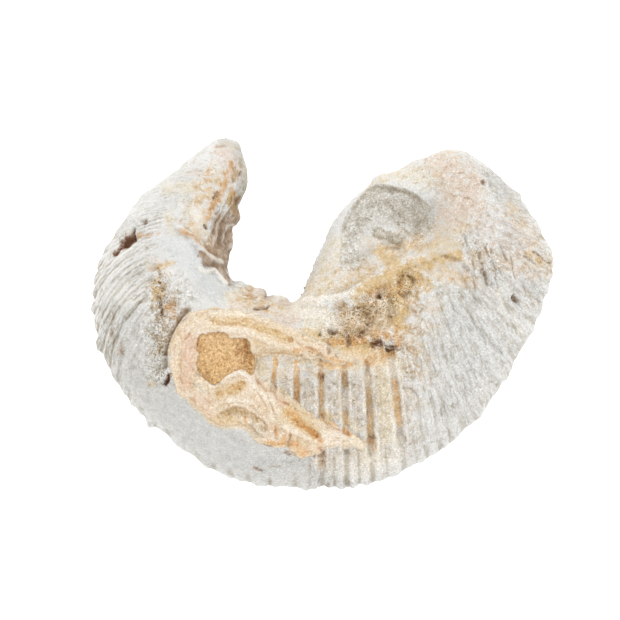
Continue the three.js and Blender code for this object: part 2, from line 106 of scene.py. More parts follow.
# points round a section, quarter by quarter
SECTION_POINTS = {"outer_top": 104, "inner_top": 50, "inner_under": 14, "outer_under": 22}

# The frames of the crescent, from the pointed beak to the broad growing end: ribs counted from the
# beak, then the points of the concave margin, the highest line and the convex margin, then the
# height of the lower valve's keel, how far a rib bends off the straight line, and its strength.
FRAMES = (
    (0, (-18.1, 32.4, 9.5), (-18.1, 32.4, 12.5), (-18.1, 32.4, 9.5), 5, 0, 0),
    (0.4, (-16.2, 31.9, 9.2), (-17.9, 31.8, 13.1), (-19.9, 32.2, 9.5), 5, 0, 0),
    (1, (-15.3, 30.7, 9), (-17.7, 30.7, 14), (-20.8, 31.6, 9.5), 4.5, 0.01, 0.05),
    (3, (-14.6, 26.8, 9), (-19.2, 27.4, 17), (-26.9, 27.2, 9.5), 2, 0.04, 0.15),
    (6.5, (-15.1, 21.3, 9), (-21.2, 22.6, 19.5), (-35.5, 19.5, 10.5), 0, 0.09, 0.3),
    (10.5, (-16.8, 15.1, 9.5), (-23.2, 16.9, 21.5), (-41.4, 9.2, 11.5), -0.8, 0.14, 0.5),
    (14, (-17.4, 9.7, 10.5), (-24.7, 12.1, 22.8), (-42.7, -0.7, 12), -0.8, 0.16, 0.7),
    (15.8, (-16.8, 6.6, 11), (-25.2, 9, 23.5), (-41.2, -6.8, 12.5), -0.8, 0.16, 0.75),
    (17.6, (-15, 5.1, 12), (-25.2, 5.5, 24.2), (-38.5, -12.3, 12.5), -0.8, 0.16, 0.75),
    (19.5, (-12.9, 4.2, 13), (-24.3, 2.2, 25), (-34.6, -17.3, 12.5), -0.8, 0.15, 0.7),
    (21.5, (-10.7, 3.9, 13.5), (-22.1, -1.3, 26), (-29.7, -22.2, 12.5), -0.8, 0.13, 0.65),
    (23.8, (-8.5, 3.5, 14), (-18.6, -4.2, 27), (-23.4, -27, 12.5), -0.8, 0.09, 0.7),
    (26, (-6.3, 2.3, 14.5), (-14.2, -5.9, 27.6), (-17.2, -30.1, 12.5), -0.8, 0.05, 0.8),
    (28, (-3.9, 4, 14.5), (-8.85, -6.6, 28), (-10, -31.8, 12.5), -0.8, 0.01, 1),
    (30, (-3.2, 6.8, 14), (-0.6, -6.8, 28), (-0.5, -32.1, 12.5), -0.8, 0, 1),
    (32, (-2.3, 9.2, 13.5), (7.4, -5.3, 27.4), (8.9, -31.2, 12.5), -0.8, 0, 1),
    (33.6, (-1.4, 11.6, 13), (13.1, -1.1, 26.6), (17.5, -27.5, 12.5), -0.8, 0, 0.8),
    (36, (-0.1, 14.3, 12.5), (14.6, 4.2, 25.4), (23.4, -23.5, 12.5), -0.8, 0, 0.6),
    (39, (2.5, 18.5, 12), (17.9, 8.4, 24), (29.8, -16.9, 12.5), -0.8, 0.02, 0.55),
    (42, (6.3, 22.4, 12), (22.3, 11.4, 23.2), (35.5, -8.1, 12.5), -0.8, 0.03, 0.55),
    (45, (10.9, 25.5, 12), (25.8, 14.1, 23), (39.7, 0.9, 12.5), -0.8, 0.03, 0.55),
    (47.5, (14.6, 27.2, 12), (27.6, 17.1, 23.4), (42.1, 9, 12), -0.8, 0.02, 0.55),
    (50, (17.9, 28.6, 12), (28, 20, 23.2), (40.1, 15.4, 12), -0.5, 0.01, 0.5),
    (52.5, (20.8, 29.4, 11.5), (27.4, 23.3, 21.6), (35.3, 22.2, 11.5), 0.8, 0, 0.35),
    (55, (23.4, 30.1, 11), (26.7, 26.4, 19.8), (30.4, 26.8, 11), 4, 0, 0.15),
    (55.7, (25, 30.1, 11), (26.2, 28.6, 19.5), (27.8, 28.7, 11), 4, 0, 0),
    (56, (26.1, 29.8, 11), (26.1, 29.8, 19.4), (26.1, 29.8, 11), 4, 0, 0),
)
LAST_RIB = FRAMES[-1][0]

# The smooth scoop in the broad end: a wide soft bowl, with a crisp lip along its upper side.
# The arched ridge runs under it.
BOWL = {"centre": (12.9, 11.8), "radius": 12.2, "wall": 8, "depth": 3.2}
LIP = {"depth": 0.9, "wall": 0.7}
LIP_OUTLINE = (
    (3.2, 16.2), (4.6, 19.2), (7.2, 22.5), (9.2, 23.7), (11.6, 23.6), (13.8, 23.1), (16, 22.3),
    (18.1, 21), (19.6, 19.2), (20.2, 17), (19.9, 14), (18, 11.4), (13.7, 9.6), (8.2, 7.3), (3.9, 6.6),
    (3, 9.4), (3, 13.4),
)
RIDGE_SLOPE = 0.46
ARCH_RIDGE = ((3.8, 2.6), (9, 5.9), (13.9, 8.8), (18.5, 10.6), (23.4, 11), (26.3, 8.8), (27.8, 4.4))

# Teeth that stand out of the margin and dents in it: place, half width and how far it is pushed out.
MARGIN_TEETH = (
    # round the outer margin from the beak
    ((-20.7, 31.4), 2.5, 0.25), ((-28.7, 25.7), 3, -0.35), ((-33.3, 22.4), 1.5, 0.55),
    ((-37.2, 17.1), 1, -0.5), ((-39, 14.5), 0.8, -0.4), ((-41.2, 10.8), 0.8, 0.45), ((-41.8, 8.6), 0.7, 0.35),
    ((-42.5, 5.7), 0.6, 0.5), ((-42.5, -2), 1, -0.6), ((-41.2, -6.6), 1, 0.4), ((-40.7, -8.8), 1, -0.4),
    ((-38.8, -12.7), 0.6, 0.3), ((-35.5, -16.5), 0.7, 0.5), ((-33.9, -18.2), 0.6, 0.4),
    ((-32.2, -20.2), 0.9, 1), ((-29.3, -22.2), 1.6, -0.5), ((-24.3, -26.3), 1.2, -0.45),
    ((-21.9, -27.7), 1, 0.25), ((-17.5, -30.1), 0.6, 0.45), ((-12.2, -31.8), 0.7, 0.35),
    ((-7.3, -32.1), 1.4, -0.3), ((-3.2, -32.3), 0.9, 0.45), ((0.1, -32.1), 1, -0.35),
    ((3.9, -31.8), 0.6, 0.3), ((6.9, -31.8), 1.2, -0.3), ((10.2, -30.8), 0.8, -0.4),
    ((15.7, -27.9), 1.2, -0.4), ((23.4, -23.3), 1.2, 0.3), ((28.5, -18.5), 2.4, 0.5),
    ((31.7, -14.3), 1, 0.35), ((33.3, -11.4), 0.9, 0.45), ((35.5, -6.6), 0.6, -0.45),
    ((37.2, -4.8), 0.8, 0.35), ((38.1, -2.6), 0.9, 0.5), ((39.7, 0.7), 1, 0.7), ((40.9, 4.4), 0.9, 0.5),
    ((42.1, 7.2), 0.9, 0.7), ((42.3, 9.7), 1.4, 0.5), ((40.1, 14.1), 1.2, -0.8), ((38.3, 18.2), 1.6, -0.45),
    ((35.3, 22.2), 1.1, 0.75), ((33.1, 23.7), 0.8, -0.4), ((29.8, 27.9), 1.5, 0.3),
    # and back along the concave margin
    ((23, 30.1), 1.6, 0.35), ((16.2, 28.5), 1.6, 0.4), ((9.8, 25.3), 1.8, 0.85), ((-0.5, 12.7), 2.5, -0.4),
    ((-3, 7.2), 2.5, -0.4), ((-5.4, 3.5), 1.3, -0.8), ((-7.6, 3.6), 0.9, -0.5), ((-10.2, 3.5), 0.9, -1.2),
    ((-15.1, 5.5), 0.9, -0.3), ((-17, 6.4), 0.8, -0.5), ((-17.5, 8.3), 1.2, -0.5), ((-17.2, 12.7), 1.2, 0.3),
    ((-15.9, 17.6), 1.2, 0.55), ((-14.4, 24.6), 3.2, 0.6),
)

# ---- small helpers ----


def mix(a, b, share):
    """What lies this share of the way from a to b."""
    return a + (b - a) * share


def smooth_step(low, high, value):
    """0 up to low and 1 from high on, with a soft rise between them."""
    share = np.clip((value - low) / (high - low), 0, 1)
    return share * share * (3 - 2 * share)


def between(rise_from, rise_to, fall_from, fall_to, value):
    """1 between two soft ends and 0 outside them."""
    return smooth_step(rise_from, rise_to, value) * (1 - smooth_step(fall_from, fall_to, value))


def bump(distance, half_width, power=2):
    """A bump of height 1 that falls to 0.37 at the half width, flatter on top at a higher power."""
    return np.exp(-np.abs(distance / half_width) ** power)


def from_line(x, y, line):
    """Distance to a line through one or more points."""
    if len(line) == 1:
        return np.hypot(x - line[0][0], y - line[0][1])
    nearest = np.full(np.shape(x), np.inf)
    for (ax, ay), (bx, by) in zip(line, line[1:]):
        dx, dy = bx - ax, by - ay
        share = np.clip(((x - ax) * dx + (y - ay) * dy) / (dx * dx + dy * dy), 0, 1)
        nearest = np.minimum(nearest, np.hypot(x - ax - dx * share, y - ay - dy * share))
    return nearest


def smooth_loop(corners, steps=6):
    """A closed smooth curve through some points."""
    p = np.array(corners)
    before, after, next_after = np.roll(p, 1, axis=0), np.roll(p, -1, axis=0), np.roll(p, -2, axis=0)
    square = 2 * before - 5 * p + 4 * after - next_after
    cube = 3 * p - before - 3 * after + next_after
    spans = []
    for t in np.arange(steps) / steps:
        spans.append(0.5 * (2 * p + (after - before) * t + square * t**2 + cube * t**3))
    return np.stack(spans, axis=1).reshape(-1, 2)


def depth_inside(x, y, corners):
    """Distance inside a closed outline, negative outside it."""
    loop = smooth_loop(corners)
    within = np.zeros(len(x), bool)
    for (ax, ay), (bx, by) in zip(loop, np.roll(loop, -1, axis=0)):
        crosses = (ay > y) != (by > y)
        at_x = ax + (y - ay) * (bx - ax) / (by - ay if by != ay else 1)
        within ^= crosses & (x < at_x)
    closed = [tuple(q) for q in loop] + [tuple(loop[0])]
    return from_line(x, y, closed) * np.where(within, 1, -1)


def cell_value(i, j, k, seed):
    """A number from -1 to 1 for each whole-number cell, the same on every run."""
    n = (i * 73856093) ^ (j * 19349663) ^ (k * 83492791) ^ (seed * 40503)
    n = (n ^ (n >> 13)) * 1274126177
    n = (n ^ (n >> 16)) * 668265263
    return ((n >> 8) & 0xFFFFFF) / 0x7FFFFF - 1


def lumps(points, size, seed, octaves=1):
    """Smooth random relief from about -1 to 1, with lumps of the given size."""
    total = np.zeros(len(points))
    for octave in range(octaves):
        at = points * (2**octave / np.asarray(size)) + 7.3 * octave
        cell = np.floor(at).astype(np.int64)
        share = at - cell
        share = share * share * (3 - 2 * share)
        for corner in product((0, 1), repeat=3):
            weight = np.prod(np.where(corner, share, 1 - share), axis=1)
            value = cell_value(*(cell + corner).T, seed + octave)
            total += weight * value * 0.5**octave
    return total


def near_seeds(points, size, seed):
    """Distance to the nearest random seed point, where a cell of the given size holds one."""
    at = points / size
    cell = np.floor(at).astype(np.int64)
    nearest = np.full(len(points), np.inf)
    for step in product((-1, 0, 1), repeat=3):
        i, j, k = (cell + step).T
        seeds = np.stack([cell_value(i, j, k, seed + axis) * 0.4 + 0.5 for axis in range(3)], axis=1)
        nearest = np.minimum(nearest, np.linalg.norm(cell + step + seeds - at, axis=1))
    return nearest * size


# ---- the crescent's frames ----

STATION_RIBS = np.array([f[0] for f in FRAMES], float)
COLUMNS = np.array([[*f[1], *f[2], *f[3], *f[4:]] for f in FRAMES], float)
LAST = len(FRAMES) - 1


def slopes():
    """The slope of every column at each frame, from its neighbours."""
    before = np.maximum(np.arange(len(FRAMES)) - 1, 0)
    after = np.minimum(np.arange(len(FRAMES)) + 1, LAST)
    return (COLUMNS[after] - COLUMNS[before]) / (STATION_RIBS[after] - STATION_RIBS[before])[:, None]


SLOPES = slopes()


def columns_at(ribs):
    """The frames' columns at any rib counts, on smooth curves through the frames."""
    index = np.clip(np.searchsorted(STATION_RIBS, ribs, side="left") - 1, 0, LAST - 1)
    span = (STATION_RIBS[index + 1] - STATION_RIBS[index])[:, None]
    t = (ribs - STATION_RIBS[index])[:, None] / span
    return (
        COLUMNS[index] * (1 + 2 * t) * (1 - t) ** 2
        + SLOPES[index] * span * t * (1 - t) ** 2
        + COLUMNS[index + 1] * t * t * (3 - 2 * t)
        + SLOPES[index + 1] * span * t * t * (t - 1)
    )


def frames_at(ribs):
    """All measures of the crescent at any rib counts. Both ends close in a round nose, one rib long."""
    v = columns_at(ribs)
    steady = columns_at(np.clip(ribs, 1, LAST_RIB - 1))
    ends = np.clip(np.minimum(ribs, LAST_RIB - ribs), 0, 1)
    swell = np.sqrt(1 - (1 - ends) ** 2)
    inner, crest, outer = v[:, 0:3], v[:, 3:6], v[:, 6:9]
    middle = (inner[:, 2] + outer[:, 2]) / 2
    keel = np.column_stack([(2 * crest + inner + outer)[:, :2] / 4, mix(middle, steady[:, 9], swell)])
    crest = np.column_stack([crest[:, :2], mix(middle, steady[:, 5], swell)])
    return {
        "ribs": ribs,
        "inner": inner,
        "crest": crest,
        "outer": outer,
        "keel": keel,
        "bow": v[:, 10],
        "relief": v[:, 11],
        "grown": smooth_step(0, 2, np.minimum(ribs, LAST_RIB - ribs)),
    }


def broad(ribs):
    """1 on the broad flat ribs of the middle."""
    return between(*BROAD_RIBS, ribs)


def rib_wave(ribs):
    """1 on a rib's back and -1 in a groove. The middle ribs are flat with narrow grooves."""
    rounded = -np.cos(2 * np.pi * ribs)
    flat = 1 - 2 * bump(ribs - np.round(ribs), GROOVE_SHARE, 3)
    return mix(rounded, flat, broad(ribs))


def uneven(ribs):
    """A share from 0.3 to 1.5 that changes from rib to rib, as teeth broken and worn by chance do."""
    return 0.9 + 0.6 * lumps(np.column_stack([ribs, 0 * ribs, 0 * ribs]), 1.7, 11, 2)


def worn_band(ribs, along):
    """1 on the smooth worn band between the small oyster and the margin."""
    return between(*WORN_RIBS, ribs) * smooth_step(*WORN_FROM, along)


def rib_strength(f, along, outer, upper):
    """How strongly the ribs show: they fade out towards the crest and where the shell is worn."""
    ribs = f["ribs"]
    full_from = mix(*RIBS_FADE, smooth_step(10, 24, ribs))
    fade_in = smooth_step(full_from * 0.3, full_from, along)
    counts, flank, margin = np.array(RIBS_SHOW).T
    teeth = np.interp(ribs, counts, margin) * uneven(ribs)
    # the flank's ribs weaken on the broad ribs' outer part, then give way to the margin's teeth
    shown = np.interp(ribs, counts, flank)
    shown = mix(shown, 0.25, broad(ribs) * smooth_step(0.68, 0.8, along)) * (1 - worn_band(ribs, along))
    shown = mix(shown, teeth, smooth_step(0.88, 0.99, along))
    inside = 0.1 * fade_in * (1 - smooth_step(15, 18, ribs))
    below = LOWER_RELIEF * smooth_step(WORN_FLAT, WORN_FLAT + 0.2, along)
    return f["relief"] * np.where(upper, np.where(outer, fade_in * shown, inside), below)


def inside_circle(x, y, circle):
    """Distance inside a circle, negative outside it."""
    return circle["radius"] - np.hypot(x - circle["centre"][0], y - circle["centre"][1])


def scoop_and_ridge(x, y):
    """What the smooth scoop and the arched ridge add to the upper surface."""
    # how far a place lies on the scoop's side of the ridge's lower stretch
    above = (y - ARCH_RIDGE[0][1]) - (x - ARCH_RIDGE[0][0]) * RIDGE_SLOPE
    bowl = BOWL["depth"] * smooth_step(0, BOWL["wall"], inside_circle(x, y, BOWL))
    lip = LIP["depth"] * smooth_step(0, LIP["wall"], depth_inside(x, y, LIP_OUTLINE))
    # the lip is crisp on its upper left side alone
    lip = lip * smooth_step(13, 19, y) * (1 - smooth_step(16, 20, x))
    return 0.9 * bump(from_line(x, y, ARCH_RIDGE), 1.1) - (bowl + lip) * smooth_step(-0.5, 7.5, above)


def section_places(ribs, angle):
    """Where each skin point lies on its section: the angle runs from the outer margin over the crest."""
    return {
        "outer": np.cos(angle) >= 0,
        "upper": np.sin(angle) >= 0,
        "along": np.abs(np.cos(angle)),
        "rise": np.abs(np.sin(angle)),
        "upper_share": smooth_step(-0.2, 0.2, np.sin(angle)),
        "f": frames_at(ribs),
    }


def skin_points(ribs, angle, ribbed=True):
    """The skin of the big oyster, as large forms alone."""
    s = section_places(ribs, angle)
    f, along, rise, upper_share = s["f"], s["along"], s["rise"], s["upper_share"]
    outer, upper, grown = s["outer"], s["upper"], s["f"]["grown"]
    # a quarter of the section runs from its apex, the crest or the keel, to its margin
    apex = np.where(upper[:, None], f["crest"], f["keel"])
    margin = np.where(outer[:, None], f["outer"], f["inner"])
    away = margin[:, :2] - apex[:, :2]
    reach = np.maximum(np.linalg.norm(away, axis=1), 1e-6)
    away = away / reach[:, None]
    bow = np.where(outer, 4 * f["bow"] * along * (1 - along) * reach, 0)
    bank = np.where(~outer & upper, 1 - smooth_step(BEAK_RIBS - 4, BEAK_RIBS, ribs), 0)
    profile = mix(rise, 1 - along**1.5, 0.8 * bank)
    x = apex[:, 0] + away[:, 0] * along * reach + away[:, 1] * bow
    y = apex[:, 1] + away[:, 1] * along * reach - away[:, 0] * bow
    z = margin[:, 2] + (apex[:, 2] - margin[:, 2]) * profile
    z = z + np.where(upper, scoop_and_ridge(x, y) * smooth_step(0.05, 0.5, rise) * grown, 0)
    out = -LOWER_INSET * (1 - upper_share) * along * grown
    # past the middle the ribs wander between crest and margin
    wander = RIBS_WANDER * lumps(np.column_stack([x, y, z]), 7, 98, 2) * smooth_step(34, 37, ribs)
    s["wave"] = rib_wave(ribs + wander * (1 - smooth_step(0.75, 0.95, along)))
    if ribbed:
        relief = RIB_RELIEF * s["wave"] * grown
        out = out + relief * rib_strength(f, along, outer, True) * upper_share
        out = out - relief * rib_strength(f, along, outer, False) * (1 - upper_share)
        zigzag = ZIGZAG * rib_wave(ribs) * np.where(outer, 1, 0.3)
        z = z + zigzag * f["relief"] * grown * bump(rise, 0.25)
    push = 0
    for at, width, stands in MARGIN_TEETH:
        push = push + stands * bump(np.hypot(x - at[0], y - at[1]), width, 2.5)
    out_level = out * along + push * grown * smooth_step(0.75, 1, along)
    x = x + away[:, 0] * out_level
    y = y + away[:, 1] * out_level
    z = z + out * rise * np.where(upper, 1, -1)
    return np.column_stack([x, y, np.maximum(z, 0)]), s


# ---- marks: the places that a line runs through, then its half width, height and steepness ----

SHELL_MARKS = (
    # the deep brown pit with its tail and spur, and a shallow grey one
    ((-35.5, 13.7), (-36.2, 13), 1, -1.2, 4), ((-34.8, 15.6), (-35.2, 14.4), 0.22, -0.6, 3),
    ((-36.4, 12.6), (-37.4, 12), (-38.4, 10.9), 0.26, -0.7, 3), ((-33, 16.7), (-32.6, 17.1), 0.5, -0.5, 3),
    # small holes
    ((-15.4, 25.8), 0.35, -0.8, 3), ((-21.7, 16), (-21.3, 15.5), 0.3, -0.8, 3), ((-19.9, 21.1), 0.5, -0.5, 2),
    ((28.6, 23.8), 0.55, -0.6, 3), ((34.7, 3.1), (35.2, 2.5), 0.6, -0.9, 4),
    # rubble, crack and slit left of the small oyster
    ((-30.2, 2.9), (-29.7, 1.3), (-29.7, 0), 0.35, -0.5, 3),
    ((-25, 0.6), (-26.4, -1.4), (-27.7, -3.6), (-28.7, -6.2), (-29, -9), 0.6, -1.1, 2),
    ((-28.3, -11.2), (-28.9, -12.9), 0.3, -1.5, 4),
    # knobs on the concave margin, with a slot under them
    ((-15.6, 5.2), (-14.3, 4.9), 0.9, 1, 3), ((-13, 4.4), (-11.8, 3.6), 1, 0.9, 3),
    ((-8, 3.3), (-7, 2.8), 0.9, 1.1, 3), ((-12.5, 1.1), (-10.3, 1.4), 0.3, -0.9, 3),
    # the rubble between the scoop and the middle ribs
    ((5.4, 0.4), (7.8, 1), 1.2, -0.3, 3), ((7.9, -1.6), (6.9, -3.6), 1.2, -0.55, 2),
    ((10.4, 1.5), 1.3, 0.9, 3), ((12.8, 2.9), (14, 0.4), 0.9, 0.7, 3),
    ((8.9, -5.8), (10, -5.5), 0.7, -0.5, 3), ((12.1, -6.2), 0.9, -0.5, 3), ((9.7, 3.3), 0.6, -0.8, 4),
    ((1.2, -3), (1.9, -3.1), 0.6, -0.9, 4), ((-0.8, -3.6), 0.4, -0.7, 4),
    ((13.3, 5.4), (13.9, 6.7), (15.3, 7), (16.1, 5.8), 0.35, -0.6, 3),
    ((13.7, 4), (14.4, 3.4), (15.5, 4.1), 0.3, -0.5, 3), ((14.8, 5.2), 0.9, 0.6, 3),
    ((3.9, -3), (4.4, -5.6), 0.6, -0.4, 2),
    # the pale step on the concave side and the crease beside the scoop
    ((5, 3.6), (1, 2.3), (-3.4, 2.4), 0.8, 0.4, 3), ((3, 15.6), (3, 8.6), 0.4, -0.2, 2),
    ((9.8, 14.2), (13.6, 12.8), 0.5, -0.35, 2),
    # the rounded bulge of the blunt end
    ((22.4, 26.4), (25.4, 23), (26, 19.8), 3.7, 0.8, 5), ((29.6, 25.6), (30.2, 23.4), 0.35, -0.2, 3),
    # the second line of the arched ridge
    ((21.3, 10.6), (24.4, 9.6), (26.8, 7.4), (27.9, 4.4), 0.4, -0.35, 2),
    ((13.5, 7.2), (17.7, 9.2), (22, 10.4), 0.4, -0.3, 2),
    # eroded grooves beyond the ridge
    ((25.4, 14.4), (26, 12.6), 0.22, -0.3, 3), ((28, 11), (29.4, 5.4), 0.36, -0.35, 2),
    ((28.8, 12.6), (30.2, 9.4), 0.3, -0.3, 2), ((30.2, 11.6), (31.4, 4.6), 0.22, -0.3, 3),
    ((31.8, 12.6), (32.8, 9.6), 0.24, -0.35, 3), ((27, 9.8), (27.8, 6.4), 0.2, -0.3, 3),
    ((33.6, 10.4), (34.6, 6.4), 0.2, -0.3, 3),
    # the boxy tooth on the right margin
    ((38, 11.2), (39.6, 10.2), (41.6, 9), 0.26, -0.35, 2), ((36.4, 10.4), (38.2, 9.3), 0.24, -0.35, 3),
    ((39.8, 12.6), (41.8, 11.2), 0.9, 0.4, 3),
    # a thin arc and a ring on the right
    ((14.2, -13.6), (15.3, -13.4), (16.4, -14.2), (17.1, -15.4), 0.22, -0.35, 3),
    ((23.3, -16.7), 0.5, -0.3, 3),
    # the wavy rim over the brown flank, the flank's hollow and its lamellae
    ((-23, 8.4), (-21.8, 7.8), (-20.2, 8.1), (-19.2, 7.1), (-18.1, 5.6), 0.45, 0.45, 2),
    ((-21.2, 9.1), (-19.6, 8.7), 0.8, -0.45, 2), ((-18.9, 17), (-19.2, 13.8), 1.3, -0.7, 2),
    ((-16.4, 21.4), (-15.6, 19.8), 1, -0.6, 2),
    ((-26.3, 15.5), (-24.1, 14), (-22.6, 11.8), (-20.6, 10.4), (-18.7, 9.2), 0.4, 0.6, 2),
    # the cap on the tip
    ((-19.7, 30.7), (-17, 31), (-14.6, 30), 0.35, -0.4, 3),
)

